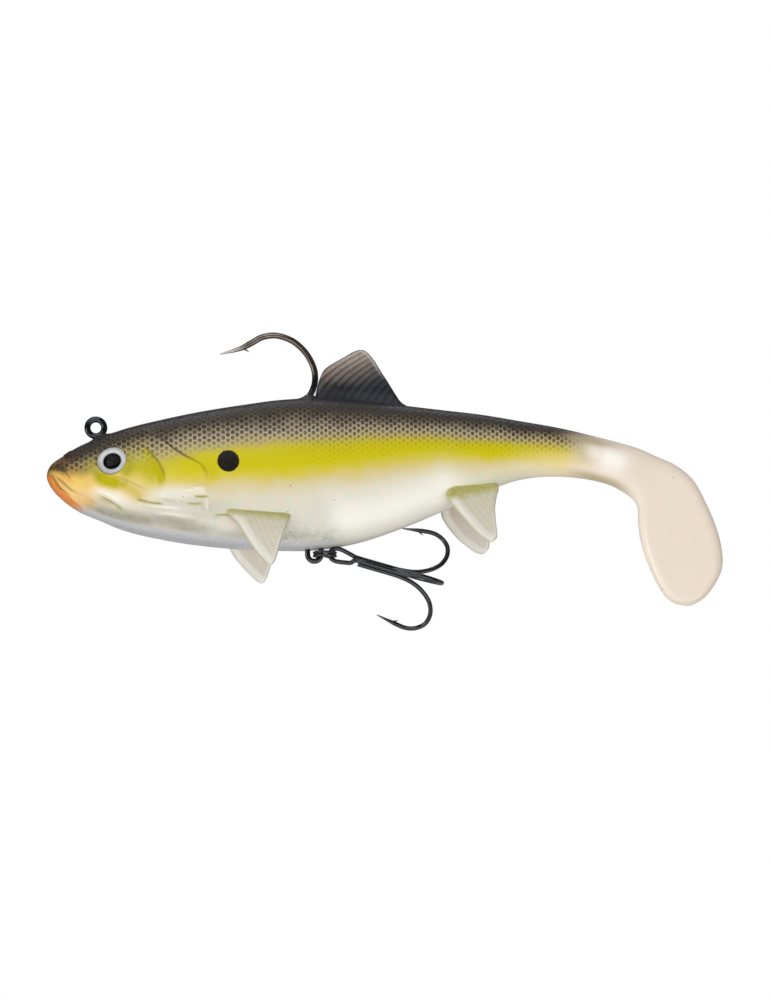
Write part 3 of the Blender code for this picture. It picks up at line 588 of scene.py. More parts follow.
def eye_matrix(side):
    """Placement of an eye: local Z looks out of the head, the origin is on the skin, in metres."""
    facing = Vector((EYE_FACING.x, side * EYE_FACING.y, EYE_FACING.z)).normalized()
    back, belly, half_width = body_lines(np.array([EYE_X]))[0]
    middle = belly + WIDEST_AT * (back - belly)
    rise = (EYE_Z - middle) / (back - middle)
    y = half_width * (1 - rise**BACK_POWER) ** (1 / BACK_POWER)
    place = Vector((EYE_X, side * y, EYE_Z))
    return Matrix.Translation(place * MM) @ facing.to_track_quat("Z", "Y").to_matrix().to_4x4()


def press_socket(points, side):
    """Sink the skin inside the eye's circle to a flat floor, with a crisp wall on the circle."""
    matrix = np.array(eye_matrix(side))
    local = (points - matrix[:3, 3] / MM) @ matrix[:3, :3]
    radius = np.hypot(local[:, 0], local[:, 1])
    near = (local[:, 2] > -3.0) & (radius < SOCKET_R + 0.6)
    rim = near & (np.abs(radius - SOCKET_R) < 0.14)
    pull = SOCKET_R / np.maximum(radius, 1e-6)
    local[rim, :2] *= pull[rim, None]
    inside = near & (radius < SOCKET_R) & ~rim
    local[inside, 2] = SOCKET_FLOOR
    return local @ matrix[:3, :3].T + matrix[:3, 3] / MM


def paint_band(points):
    """Place in the paint's bands: 0 at the back, 1 to 6 at the paint stations, then 8 below."""
    x, z = points[:, 0], points[:, 2]
    back = body_lines(np.clip(x, TIP_X, 113.0))[:, 0]
    marks = hermite(PAINT_STATIONS[:, 0], PAINT_STATIONS[:, 1:], np.clip(x, TIP_X, 101.0))
    marks = np.column_stack([np.maximum(back, marks[:, 0] + 0.3), marks, marks[:, -1] - 7.0])
    band = np.zeros(len(x))
    for k, (low, high) in enumerate(zip(PAINT_LEVELS, PAINT_LEVELS[1:])):
        top, bottom = marks[:, k], marks[:, k + 1]
        share = np.clip((top - z) / np.maximum(top - bottom, 1e-6), 0.0, 1.0)
        band = np.where(z <= top, low + (high - low) * share, band)
    return band


def scale_lattice(points):
    """Lattice coordinates of the moulded scales: rows by height, columns along the fish."""
    knots, pitch = np.array(SCALE_COLUMNS).T
    x = np.linspace(knots[0], 135.0, 2000)
    columns = np.concatenate([[0.0], np.cumsum(np.diff(x) / np.interp(x[1:], knots, pitch))])
    column = np.interp(points[:, 0], x, columns)
    return np.column_stack([points[:, 2] / SCALE_HEIGHT, column * math.sqrt(3) / 2,
                            np.zeros(len(points))])


def build_skin(material):
    """The two pieces of skin, which meet inside the tail stem."""
    grid, split = skin_grid()
    normals = grid_normals(grid)
    flat = grid.reshape(-1, 3)
    x, y, z = flat.T
    spots = flat[:, [0, 2]]
    height = relief(spots) * np.where(x < -6.0, 1.0, smoothstep(0.0, 0.8, np.abs(y)))
    for seat_x, stretch, radius, rise, lowest in SEATS:
        gap = np.hypot((x - seat_x) / stretch, y)
        height += np.where(z > lowest, rise * np.exp(-(gap / radius) ** 2), 0.0)
    points = flat + normals.reshape(-1, 3) * height[:, None]
    for _, side in SIDES:
        mine = y * side > 0
        points[mine] = press_socket(points[mine], side)
    grid = points.reshape(grid.shape)
    values = {name: stroke_mask(strokes, spots) for name, strokes in STROKES.items()}
    gap, jaw_side, _ = line_field(MOUTH, spots)
    values["jaw"] *= smoothstep(-0.12, 0.2, -jaw_side * gap)
    values.update({
        "band": paint_band(flat),
        "tail": smoothstep(95.5, 105.5, x - 0.25 * (z + 5.0)),
        "dots": window(x, -9.5, -8.0, 98.0, 104.0),
        "late": smoothstep(34.0, 50.0, x),
        # Skin that faces down, which gets a painted grey reflection.
        "belly": smoothstep(0.7, 0.86, -normals[..., 2].ravel()) * window(x, -6.0, -1.0, 40.0, 58.0),
        "vivid": window(x, 4.0, 22.0, 82.0, 97.0),
        "rest": flat,
        "lattice": scale_lattice(flat),
    })
    pieces = []
    rings, around = grid.shape[:2]
    for name, first, last, tucked, end in (("skin_body", 0, split + 1, split + 1, 0),
                                           ("skin_tail", split - 1, rings - 1, split - 1, -1)):
        part = grid[first:last + 1].copy()
        part[tucked - first] -= normals[tucked] * SKIN_OVERLAP
        item = mesh_object(name, *tube(part, ends=(end,)), material)
        for key, value in values.items():
            store(item, key, value[first * around:(last + 1) * around])
        pieces.append(item)
    return pieces


# ---------------------------------------------------------------- tubes


def sweep(route, radii, sides=20):
    """Rings of points round a route, carried along it without twisting."""
    route = np.asarray(route, float)
    tangents = np.gradient(route, axis=0)
    tangents /= np.linalg.norm(tangents, axis=1, keepdims=True)
    first = np.cross(tangents[0], (0.0, 1.0, 0.0))
    if np.linalg.norm(first) < 0.1:
        first = np.cross(tangents[0], (1.0, 0.0, 0.0))
    normal = first / np.linalg.norm(first)
    turns = 2 * np.pi * np.arange(sides) / sides
    rings = []
    for point, tangent, radius in zip(route, tangents, radii):
        normal = normal - tangent * (normal @ tangent)
        normal /= np.linalg.norm(normal)
        side = np.cross(tangent, normal)
        circle = np.outer(np.cos(turns), normal) + np.outer(np.sin(turns), side)
        rings.append(point + radius * circle)
    return np.array(rings)


def round_ends(route, radius):
    """Extra points and radii that close a wire's two ends with a rounded edge."""
    start, end = route[0] - route[1], route[-1] - route[-2]
    start, end = start / np.linalg.norm(start), end / np.linalg.norm(end)
    reach = 0.25 * radius[0], 0.25 * radius[-1]
    route = np.vstack([route[0] + start * reach[0], route, route[-1] + end * reach[1]])
    radii = np.concatenate([[0.72 * radius[0]], radius, [0.72 * radius[-1]]])
    return route, radii


def point_radii(route, radius, length, at_start=False, sharp=0.05):
    """Radii of a wire whose last stretch, or first, is ground to a point."""
    steps = np.linalg.norm(np.diff(route, axis=0), axis=1)
    run = np.concatenate([[0.0], np.cumsum(steps)])
    left = run if at_start else run[-1] - run
    return radius * (sharp + (1 - sharp) * np.clip(left / length, 0.0, 1.0) ** 0.72)


def spike(base, tip, radius):
    """A pointed sliver for a barb."""
    share = np.linspace(0.0, 1.0, 9)
    route = np.add(base, np.outer(share, np.subtract(tip, base)))
    return tube(sweep(route, radius * np.clip(1.0 - share, 0.03, 1.0) ** 0.8, 12))


# ---------------------------------------------------------------- materials


def soft_skin():
    """Pearl plastic under a yellow stripe, a net of dark scales and a solid dark back, with painted
    light, shade and reflection.
    """
    m = Material("soft_skin", IOR=1.3, Coat_Weight=0.05, Coat_Roughness=0.08,
                 Subsurface_Weight=0.1, Subsurface_Radius=(1.0, 0.7, 0.45), Subsurface_Scale=0.001)
    rest = m.attribute("rest", "Vector")
    shift = m.math("ADD", m.even(m.noise(rest, 0.22, 3.0), -0.16, 0.16),
                   m.even(m.noise(rest, 2.6), -0.07, 0.07))
    share = m.math("DIVIDE", m.math("ADD", "band", shift), PAINT_LEVELS[-1], clamp=True)
    m.base = m.ramp(
        share, (0.0, "3e3e41"), (0.1, "443e3a"), (0.17, "756b52"), (0.25, "a4966b"), (0.36, "beb068"),
        (0.5, "cfbe4e"), (0.62, "dfcb6a"), (0.75, "e6d398"), (0.86, "e8dcc0"), (1.0, "e2ded0"))
    m.paint("vivid", m.ramp(
        share, (0.0, "414245"), (0.1, "43413f"), (0.14, "655d50"), (0.19, "887e6c"), (0.25, "b1a58b"),
        (0.33, "b8aa7a"), (0.39, "bfb056"), (0.46, "c8ba20"), (0.52, "cabf02"), (0.62, "cfc30a"),
        (0.68, "d6c548"), (0.75, "dbcb94"), (0.84, "e0d7ba"), (1.0, "dfdacb")))
    m.paint(m.spread(share, 0.72, 0.92, 0.0, 0.6),
            m.clouds(rest, 0.5, 4.0, (0.32, "d2dccd"), (0.5, "dfdccc"), (0.68, "e9d8cc")))
    m.paint(m.times("warm", 0.85),
            m.clouds(rest, 0.35, 2.0, (0.35, "e6ae55"), (0.65, "efc96c")))
    # Painted light, off-white, over the head's ridges and the lower flank.
    m.paint("bright", "f6f4ea")
    # Painted shade, grey, laid by the shade strokes.
    m.paint("shade", m.clouds(rest, 0.6, 2.0, (0.3, "989682"), (0.7, "a7a294")))
    m.paint("olive", "bbb008")
    m.paint("jaw", m.clouds(rest, 0.7, 2.0, (0.3, "e28a1c"), (0.7, "e68d4c")))
    m.paint("snout", "55441f")
    m.paint(m.times("frost", m.spread(m.noise(rest, 0.6, 4.0), *NOISE_SPAN, 0.3, 0.85)), "a8ad9f")
    # Painted reflection: grey on the belly where the skin faces down.
    m.paint("belly", m.clouds(rest, 0.8, 3.0, (0.3, "c3c2c6"), (0.7, "cdcdcd")))
    glints, tint = m.specks(rest, 1.6, 0.16, 0.34, 0.62)
    m.paint(m.times(glints, "frost"), m.mix(0.5, rgb("f4fff2"), tint))

    # The net: dots on the two interlaced sets of centres of the scales' lattice.
    cell = m.attribute("lattice", "Vector")
    half = (0.5, math.sqrt(3) / 2, 0.0)
    other = tuple(-v for v in half)
    jitter = m.vector("SUBTRACT", m.noise(cell, 0.9, 1.0, out=1), (0.5, 0.5, 0.5))
    cell = m.vector("ADD", cell, m.vector("MULTIPLY", jitter, (0.22, 0.22, 0.0)))
    reach = m.math("MINIMUM", *[m.vector("LENGTH", m.vector("WRAP", place, half, other), out=1)
                                for place in (cell, m.vector("ADD", cell, half))])
    size = m.ramp(share, (0.1, 0.5), (0.16, 0.44), (0.22, 0.39), (0.32, 0.35), (0.44, 0.31))
    disc = m.spread(m.math("SUBTRACT", reach, size), -0.09, 0.09, 1.0, 0.0)
    early = m.ramp(share, (0.09, 0.6), (0.14, 1.0), (0.28, 0.95), (0.35, 0.55), (0.42, 0.15),
                   (0.48, 0.0))
    late = m.ramp(share, (0.09, 0.6), (0.14, 1.0), (0.32, 0.95), (0.42, 0.8), (0.52, 0.55),
                  (0.68, 0.0))
    strength = m.mix("late", early, late)
    patchy = m.spread(m.noise(cell, 0.8), 0.25, 0.6, 0.7, 1.0)
    m.paint(m.times(disc, strength, "dots", patchy), m.ramp(
        share, (0.0, "322f2e"), (0.17, "3b3229"), (0.27, "51422a"), (0.35, "766837"),
        (0.43, "a09420"), (0.58, "b9ac02")))

    m.paint("streak", "9c9224")
    # Painted crease shade, dark brown, laid by the ink strokes.
    m.paint("ink", "352d20")
    m.paint("tail", m.clouds(rest, 0.18, 3.0, (0.3, "ecdccb"), (0.7, "e8dccc")))
    # Painted shade on the tail stem, greyish beige.
    m.paint("painted_stem_shade", "b5a684")
    # Painted highlights, near-white, on the tail stem, the head's ridges and the paddle's front edge.
    m.paint("glow", "fffaf0")
    from_spot = m.vector("DISTANCE", m.vector("MULTIPLY", rest, (1.0, 0.0, 1.0)),
                         (SPOT[0], 0.0, SPOT[1]), out=1)
    from_spot = m.math("ADD", from_spot, m.even(m.noise(rest, 3.0), -0.09, 0.09))
    spot = m.spread(from_spot, SPOT_R - 0.16, SPOT_R + 0.1, 1.0, 0.0)
    m.paint(spot, m.clouds(rest, 1.6, 3.0, (0.45, "0c0805"), (0.75, "2c1d0c")))
    specks, _ = m.specks(rest, 0.45, 0.045, 0.08, 0.6)
    m.paint(m.times(specks, m.spread(share, 0.55, 0.8, 0.25, 0.8)), "5d533c")

    rough = m.math("SUBTRACT", m.even(m.noise(rest, 0.9, 4.0), 0.27, 0.4),
                   m.times("wet", 0.22))
    scales = m.times(m.spread(reach, 0.2, 0.5, 1.0, 0.0), "dots",
                     m.spread(share, 0.02, 0.6, 1.0, 0.05))
    grain = m.math("ADD", m.noise(rest, 1.4, 3.0), m.times(m.noise(rest, 7.0), 0.25))
    return m.feed(Roughness=m.math("ADD", rough, m.times(spot, 0.12)),
                  Normal=m.bump(grain, 0.35, 0.00008, m.bump(scales, 0.5, 0.00012)))


def fin_material(name, ior, by_root, tint, vein, lead_highlight, edge_line):
    """Translucent fin plastic, coloured by the distance from the root, with rays, edges and painted
    highlights along the edges.

    The vein, the painted highlight behind the leading edge and the edge line are a hex colour and a
    strength.
    """
    m = Material(name, IOR=ior, Coat_Weight=0.05, Coat_Roughness=0.15, Subsurface_Weight=0.2,
                 Subsurface_Radius=(1.0, 0.8, 0.55), Subsurface_Scale=0.001)
    rest = m.attribute("rest", "Vector")
    out = m.node("ShaderNodeSeparateXYZ", m.attribute("plane", "Vector"), out=1)
    wander = m.even(m.noise(rest, 0.8, 3.0), -0.3, 0.3)
    from_root = m.math("ADD", m.math("ADD", out, "slant"), wander)
    level = m.math("DIVIDE", m.math("ADD", from_root, 3.0), 18.0, clamp=True)
    m.base = m.ramp(level, *by_root)
    m.paint(m.times("stain", m.spread(wander, -0.3, 0.3, 0.6, 1.0)), "0f1420")
    # Inner faces: bare plastic, painted a darker pinkish grey as shade.
    m.paint("bare_shaded_inner", m.ramp(level, (0.1, "bfae9f"), (0.4, "cdc1b4"), (0.8, "d6cfc2")))
    mottle = m.noise(rest, 1.3, 4.0)
    m.paint(m.spread(mottle, 0.35, 0.75, 0.0, 0.25), tint)
    m.paint(m.times("ray", m.spread(out, 1.0, 8.0, vein[1], 0.62 * vein[1])), vein[0])
    # Painted highlights: a band behind the leading edge, and a lighter one along the trailing edge in
    # the same colour.
    band = m.spread(m.math("ABSOLUTE", m.math("SUBTRACT", "lead", 1.15)), 0.3, 1.1, 1.0, 0.0)
    m.paint(m.times(band, m.spread(out, 0.6, 2.4, 0.0, lead_highlight[1])), lead_highlight[0])
    rim = m.spread(m.math("ABSOLUTE", m.math("SUBTRACT", "trail", 0.45)), 0.1, 0.35, 1.0, 0.0)
    m.paint(m.times(rim, m.spread(out, 3.0, 7.0, 0.0, 0.55)), lead_highlight[0])
    m.paint(m.spread(m.math("MINIMUM", "lead", "trail"), 0.06, 0.28, edge_line[1], 0.0), edge_line[0])
    return m.feed(Roughness=m.even(mottle, 0.3, 0.42),
                  Normal=m.bump(m.noise(rest, 4.0, 3.0), 0.25, 0.00006))


def black_nickel():
    """Polished black nickel wire: blue-black, bronze at the jig bend, worn lighter at the points."""
    m = Material("black_nickel_wire", Metallic=0.85, IOR=1.6, Coat_Weight=1.0, Coat_Roughness=0.08)
    rest = m.attribute("rest", "Vector")
    cloud = m.noise(rest, 0.5, 3.0)
    m.base = m.ramp(cloud, (0.3, "14161b"), (0.7, "282c35"))
    m.paint(m.spread(m.node("ShaderNodeSeparateXYZ", rest, out=2), 10.0, 12.5),
            m.ramp(cloud, (0.3, "4c3e38"), (0.7, "74635a")))
    m.paint("ground", "b3b1ad")
    return m.feed(Roughness=m.even(m.noise(rest, 1.2, 4.0), 0.16, 0.26),
                  Normal=m.bump(m.noise(rest, 0.4, 1.0), 0.05, 0.00002))


def plain_metal(name, dark, light, roughness, grain, depth):
    m = Material(name, Metallic=1.0)
    noise = m.noise(m.node("ShaderNodeTexCoord", out=3), grain, 4.0)
    m.base = m.ramp(noise, (0.35, dark), (0.65, light))
    return m.feed(Roughness=m.even(noise, roughness - 0.08, roughness + 0.12),
                  Normal=m.bump(noise, 0.4, depth))


def eye_foil_material():
    """Silver foil with fine dark rings pressed round it."""
    m = Material("eye_foil", Metallic=0.0, IOR=1.4, Coat_Weight=0.3, Coat_Roughness=0.06)
    grain = m.noise(m.attribute("rest", "Vector"), 3.5, 4.0)
    m.base = m.ramp("dish", (0.0, "8f9396"), (0.585, "9a9d9f"), (0.62, "c9cccd"),
                    (0.66, "f4f5f5"), (0.84, "f8f8f8"), (0.875, "c3c7c8"), (0.9, "eeefef"),
                    (0.96, "f4f4f4"), (1.0, "8f9395"))
    m.paint(m.spread(grain, 0.5, 0.85, 0.0, 0.22), "cfd3d6")
    return m.feed(Roughness=m.even(grain, 0.3, 0.42), Normal=m.bump(grain, 0.12, 0.00002))


def ink_material():
    """Flat black ink, with a painted grey reflection towards one edge."""
    m = Material("pupil_ink", IOR=1.1)
    place = m.attribute("rest", "Vector")
    cloud = m.noise(place, 0.9, 3.0)
    # Painted reflection: the ink turns grey towards one edge.
    worn = m.vector("DISTANCE", place, (-0.35, -0.75, -0.87), out=1)
    worn = m.math("ADD", worn, m.even(cloud, -0.15, 0.15))
    m.base = m.mix(m.spread(worn, 0.3, 0.85, 0.85, 0.0), rgb("030304"), rgb("353331"))
    return m.feed(Roughness=m.even(cloud, 0.45, 0.65))


def dome_material():
    m = Material("clear_dome", IOR=1.15, Transmission_Weight=1.0)
    haze = m.noise(m.node("ShaderNodeTexCoord", out=3), 500.0, 3.0)
    m.base = m.ramp(haze, (0.3, "f4f6f6"), (0.7, "ffffff"))
    return m.feed(Roughness=m.even(haze, 0.0, 0.05))


# ---------------------------------------------------------------- build: skin

skin_body, skin_tail = build_skin(soft_skin())
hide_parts("body_shell")
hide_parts("tail_root", "tail_paddle")
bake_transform(skin_body)
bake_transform(skin_tail)

# ---------------------------------------------------------------- build: fins

# Fin stations: leading edge a and b, trailing edge a and b in the fin's plane, half thickness, width
# of the rounded edges and shift across towards the body.
DORSAL = [
    (-9.7, -1.9, 10.6, -2, 1.1, 0.9, 0), (-9.55, -0.4, 8.4, -0.9, 0.85, 0.8, 0),
    (-9.3, 1.2, 7.1, 0.6, 0.6, 0.7, 0), (-8.9, 2.9, 6, 2.1, 0.52, 0.7, 0),
    (-8.1, 4.7, 4.9, 3.6, 0.48, 0.7, 0), (-6.3, 6.2, 3.8, 5, 0.44, 0.7, 0),
    (-4.4, 7.5, 2.9, 6.3, 0.42, 0.7, 0), (-2.7, 8.7, 1.8, 7.7, 0.38, 0.6, 0),
    (-1.5, 9.3, 0.6, 8.9, 0.3, 0.6, 0), (-0.5, 9.45, -0.4, 9.45, 0, 0.6, 0),
]
PECTORAL = [
    (-7.6, -1.3, 5.9, -1.5, 0.4, 1.6, 0.95), (-7.6, -0.5, 5.75, -0.7, 0.6, 1.6, 0.8),
    (-7.2, 0.6, 5.55, 0.2, 0.66, 1.5, 0.5), (-6.2, 1.9, 5.3, 1.3, 0.6, 1.3, 0.2),
    (-5.1, 3.4, 5, 2.8, 0.54, 1.1, 0.05), (-3.9, 5.5, 4.55, 4.6, 0.5, 1, 0),
    (-2.6, 7.8, 4.1, 6.9, 0.48, 1, 0), (-1.1, 10.1, 3.7, 9.3, 0.46, 0.9, 0),
    (0.4, 12.1, 3.3, 11.6, 0.42, 0.8, 0), (1.5, 13.2, 2.9, 12.9, 0.36, 0.7, 0),
    (2.2, 13.6, 2.35, 13.6, 0, 0.6, 0),
]
PELVIC = [
    (-3, -3.4, 4.6, -3.7, 0.4, 1.6, 0.5), (-4.4, -2.2, 5.4, -2.7, 0.7, 1.6, 0.45),
    (-5.6, -0.9, 5.8, -1.5, 0.76, 1.5, 0.3), (-6.1, 0.4, 5.5, -0.1, 0.64, 1.3, 0.12),
    (-5.7, 2, 4.7, 1.4, 0.56, 1.1, 0), (-5.1, 3.6, 4.1, 2.9, 0.52, 1, 0),
    (-4.4, 5.3, 3.4, 4.8, 0.5, 1, 0), (-3.6, 7.1, 3, 6.8, 0.48, 0.9, 0),
    (-2.7, 9.2, 2.6, 8.8, 0.46, 0.8, 0), (-1.6, 11.2, 2.3, 10.8, 0.42, 0.8, 0),
    (-0.7, 12.5, 1.8, 12.2, 0.44, 0.7, 0), (0.4, 13.25, 0.55, 13.25, 0, 0.6, 0),
]


def widen(stations, extra):
    """The stations with the leading edge moved forward between the root and the tip."""
    return [(la - extra * np.clip(lb / 4.0, 0.0, 1.0) * np.clip((14.0 - lb) / 6.0, 0.0, 1.0), lb, *rest)
            for la, lb, *rest in stations]


def ray_phase_dorsal(a, b):
    return (a - 0.55 * b - 0.06 * b**2) / 1.7


def ray_phase_paired(a, b):
    return (a + 9.0) / (1.15 + 0.02 * b) - 0.16 * b * (1 + 0.4 * a / 6)


def ray_wave(phase):
    """1 on a ray and 0 between rays."""
    return (0.5 + 0.5 * np.cos(2 * np.pi * phase)) ** 2


def fin_relief(grid, share, phase, height, rim):
    """Out-of-plane shift of a fin's surface: rays, and a raised rim inside the leading edge."""
    a, b, c = grid.transpose(2, 0, 1)
    level = c - c[:, :1]
    side = np.sign(level) * smoothstep(0.05, 0.3, np.abs(level))
    gap = np.linalg.norm(grid[:, :, :2] - grid[:, :1, :2], axis=2)
    fade = (smoothstep(0.5, 2.5, b) * (1 - 0.6 * smoothstep(0.8, 1.0, share))
            * smoothstep(0.8, 1.6, gap))
    lead = rim * np.exp(-((gap - 1.2) / 0.8) ** 2) * smoothstep(1.0, 3.0, b)
    return side * (height * fade * ray_wave(phase(a, b)) + lead)


def build_fin(node, material, place, stations, rays, slant, rays_from=0.4, stain=0.0):
    """A fin: a thin blade with rays in the plane of its own frame, bent at its root.

    The place is the hinge, the direction along the root and the one out of it; rays are the phase,
    their height and the rim's; slant tilts the paint; the rays' paint starts at rays_from.
    """
    hinge, along, out = (np.asarray(v, float) for v in place)
    along /= np.linalg.norm(along)
    across = np.cross(along, out)
    across /= np.linalg.norm(across)
    out = np.cross(across, along)
    last = len(stations) - 1
    at = np.concatenate([np.linspace(0.0, last - 1.0, 48), last - np.linspace(1, 0.04, 13)[1:]])
    inward = -1.0 if hinge[1] > 0 else 1.0
    curve = hermite(np.arange(len(stations)), stations, at)
    flat = np.array([
        ring((ta, tb, inward * inset), (la, lb, inward * inset), (0.0, 0.0, 1.0), max(thick, 0.02),
             2.0, max(edge, 0.2), 1.0, count=56)
        for la, lb, ta, tb, thick, edge, inset in curve])
    flat[:, :, 2] += fin_relief(flat, (at / last)[:, None], *rays)
    grid = hinge + flat @ np.array([along, out, across])
    item = mesh_object("soft_" + node, *tube(grid), material)
    a, b = flat.reshape(-1, 3)[:, :2].T
    spots = np.column_stack([a, b])
    facing_in = (flat[:, :, 2] - flat[:, :1, 2]) * inward * (abs(hinge[1]) > 1)
    for name, values in (
        ("lead", line_field(even_line(curve[:, :2], 0.8), spots)[0]),
        ("trail", line_field(even_line(curve[:, 2:4], 0.8), spots)[0]),
        ("plane", np.column_stack([a, b, 0 * a])),
        # Faces turned towards the body: bare plastic with painted shade.
        ("bare_shaded_inner", smoothstep(0.0, 0.35, facing_in)),
        ("rest", grid),
        ("ray", ray_wave(rays[0](a, b)) * smoothstep(rays_from, rays_from + 1.6, b)),
        ("slant", slant * a),
        ("stain", stain * np.exp(-((a + 5.6) / 4.0) ** 4 - ((b + 0.2) / 2.2) ** 4)),
    ):
        store(item, name, values)
    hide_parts(node)
    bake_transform(item)


SMOKE_FIN = fin_material(
    "smoked_fin", 1.3, [(0.0, "2c2f36"), (0.2, "30343b"), (0.28, "3d4046"), (0.37, "5c5857"),
                        (0.5, "83776d"), (0.6, "a2958a"), (0.7, "bcb1a8")],
    "33333a", ("0b0b0d", 0.9), ("c9c3bd", 0.0), ("3a3a3d", 0.8))
CREAM_FIN = fin_material(
    "cream_fin", 1.4, [(0.0, "b1ab55"), (0.16, "b3ad5c"), (0.21, "c4bf8a"), (0.27, "d7d1b9"),
                       (0.6, "dad5c4"), (1.0, "e0dac9")],
    "e8e0d0", ("bdb8a3", 0.3), ("f2f0e8", 0.6), ("b1b096", 0.6))

build_fin("dorsal_fin", SMOKE_FIN,
          ((55.0, 0.0, 7.2), (1.0, 0.0, -0.075), (0.075, 0.0, 1.0)), DORSAL,
          (ray_phase_dorsal, 0.12, 0.0), -0.38, rays_from=-2.6, stain=0.95)
for stem, stations, slant, *place in (
    ("pectoral_fin_", PECTORAL, -0.03, (34.0, 9.9, -18.9), (0.996, 0.0, -0.091), (0.05, 0.55, -0.835)),
    ("pelvic_fin_", PELVIC, 0.15, (77.9, 4.45, -13.5), (0.968, -0.228, 0.104), (0.239, 0.489, -0.837)),
):
    for side_name, side in SIDES:
        shape = stations if side < 0 else widen(stations, 1.7)
        build_fin(stem + side_name, CREAM_FIN, np.array(place) * (1.0, side, 1.0),
                  shape, (ray_phase_paired, 0.022, 0.06), slant)

# ---------------------------------------------------------------- build: eyes

FOIL_PROFILE = [
    (0.05, -1.02), (1.2, -1.02), (1.78, -1), (1.9, -0.94), (2.02, -0.98), (2.2, -0.96),
    (2.45, -0.9), (2.62, -0.86), (2.7, -0.9), (2.82, -0.82), (2.95, -0.78), (3.02, -0.82),
    (3.05, -0.92), (3.05, -1.24), (2.9, -1.26), (0.05, -1.26),
]
PUPIL_PROFILE = [
    (0.03, -0.86), (0.7, -0.865), (1.3, -0.88), (1.6, -0.895), (1.72, -0.92), (1.75, -0.96),
    (1.74, -0.99), (0.03, -0.99),
]
DOME_PROFILE = [
    (0.02, 0.7),
    *[(EYE_R * math.sin(a), -0.5 + 1.2 * math.cos(a)) for a in np.linspace(0, math.pi / 2, 15)[1:]],
    (EYE_R, -0.6), (3.0, -0.62), (0.02, -0.62),
]


def turned(name, profile, placement, material, dents=(), sides=96):
    """A disc turned from (radius, level) points; dents are angle, radius, width and depth."""
    turns = 2 * np.pi * np.arange(sides) / sides
    rings = []
    for radius, level in profile:
        drop = np.zeros(sides)
        for angle, at, wide, depth in dents:
            away = (turns - angle + np.pi) % (2 * np.pi) - np.pi
            drop += depth * np.exp(-(away / wide) ** 2 - ((radius - at) / 0.35) ** 2)
        rings.append(np.column_stack([radius * np.cos(turns), radius * np.sin(turns), level - drop]))
    item = mesh_object(name, *tube(np.array(rings)), material)
    store(item, "dish", np.repeat([r for r, _ in profile], sides) / EYE_R)
    store(item, "rest", rings)
    item.matrix_world = placement
    return item


EYE_PARTS = (
    ("foil_ring_", FOIL_PROFILE, eye_foil_material(), "eye_foil_", "silver_foil"),
    ("pupil_disc_", PUPIL_PROFILE, ink_material(), "eye_pupil_", "black_ink"),
    ("clear_dome_", DOME_PROFILE, dome_material(), "eye_dome_", "clear_resin"),
)
for side_name, side in SIDES:
    foil_dents = [(angle, 2.5, 0.07, 0.22) for angle in (math.pi, 0.9 * side)]
    for name, profile, material, node, slot_name in EYE_PARTS:
        item = turned(name + side_name, profile, eye_matrix(side), material,
                      foil_dents if profile is FOIL_PROFILE else ())
        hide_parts(node + side_name)
        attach(item, "body")

# ---------------------------------------------------------------- build: wire

NICKEL = black_nickel()
JIG_WIRE_R, LINE_EYE_R = 0.65, 1.74
LINE_EYE_MIDDLE = (-0.1, 0.0, -0.18)
JIG_ROUTE = [
    (0.9, -1.3), (2.2, -2.7), (3.2, -3.8), (4.9, -5.8), (6.8, -7.2), (9.5, -7.6), (20, -5.9),
    (30, -4.1), (34.6, -2.9), (38.4, -0.6), (41.2, 2.5), (43.3, 5.6), (44.7, 7.9), (45.3, 10.2),
    (45, 12.8), (43.5, 15.7), (41.3, 17.9), (39.2, 19), (36.9, 19.5), (34.3, 19.1), (32, 17.8),
    (29.6, 16.6), (25.4, 15.4),
]
HANGER_X, HANGER_Z, HANGER_BEND_R, HANGER_WIRE_R = 45.2, -26.2, 1.4, 0.55
RING_PIVOT = np.array((45.15, 0.0, -26.15))
RING_R, RING_WIRE_R, RING_PITCH = 2.22, 0.3, 0.64
TREBLE_PIVOT = RING_PIVOT + np.array((2 * RING_R, 0.0, 0.0))
TREBLE_SLOPE = math.radians(-15.8)
TREBLE_WIRE_R, TREBLE_SHANK_R = 0.475, 0.722
TREBLE_TURNS = [math.radians(v) for v in (26.0, 146.0, 266.0)]
# The treble along its axis and out from it: a hook, half of the eye, and a barb's foot and tip.
TREBLE_HOOK = [
    (12, TREBLE_SHANK_R), (14, 0.8), (16, 1.1), (17.6, 1.6), (19.1, 2.4), (20.6, 3.6), (21.7, 5),
    (22.3, 6.6), (22.4, 8.1), (22, 9.6), (21, 10.8), (19.6, 11.6), (18, 11.85), (16, 11.6),
    (13.9, 11.2), (11.7, 10.75),
]
TREBLE_EYE = [
    (3.5, 0.78), (2.1, 1.1), (0.9, 1.3), (0, 1.28), (-0.8, 0.92), (-1.25, 0),
]
TREBLE_BARB = [(15.3, 11.35), (16.6, 10.55)]


def wire_piece(name, tubes, body, node=None, tips=(), length=4.0, worn=0.12):
    """A piece of black nickel wire, worn lighter within a length of its tips."""
    points, faces = np.empty((0, 3)), []
    for more, sides in tubes:
        faces += [[len(points) + corner for corner in side] for side in sides]
        points = np.vstack([points, more])
    item = mesh_object(name, points, faces, NICKEL)
    ground = np.zeros(len(points))
    for tip in tips:
        gap = np.linalg.norm(points - tip, axis=1)
        ground = np.maximum(ground, worn * (1 - smoothstep(0.35 * length, length, gap)))
    store(item, "rest", points)
    store(item, "ground", ground)
    if node:
        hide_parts(node)
    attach(item, body)


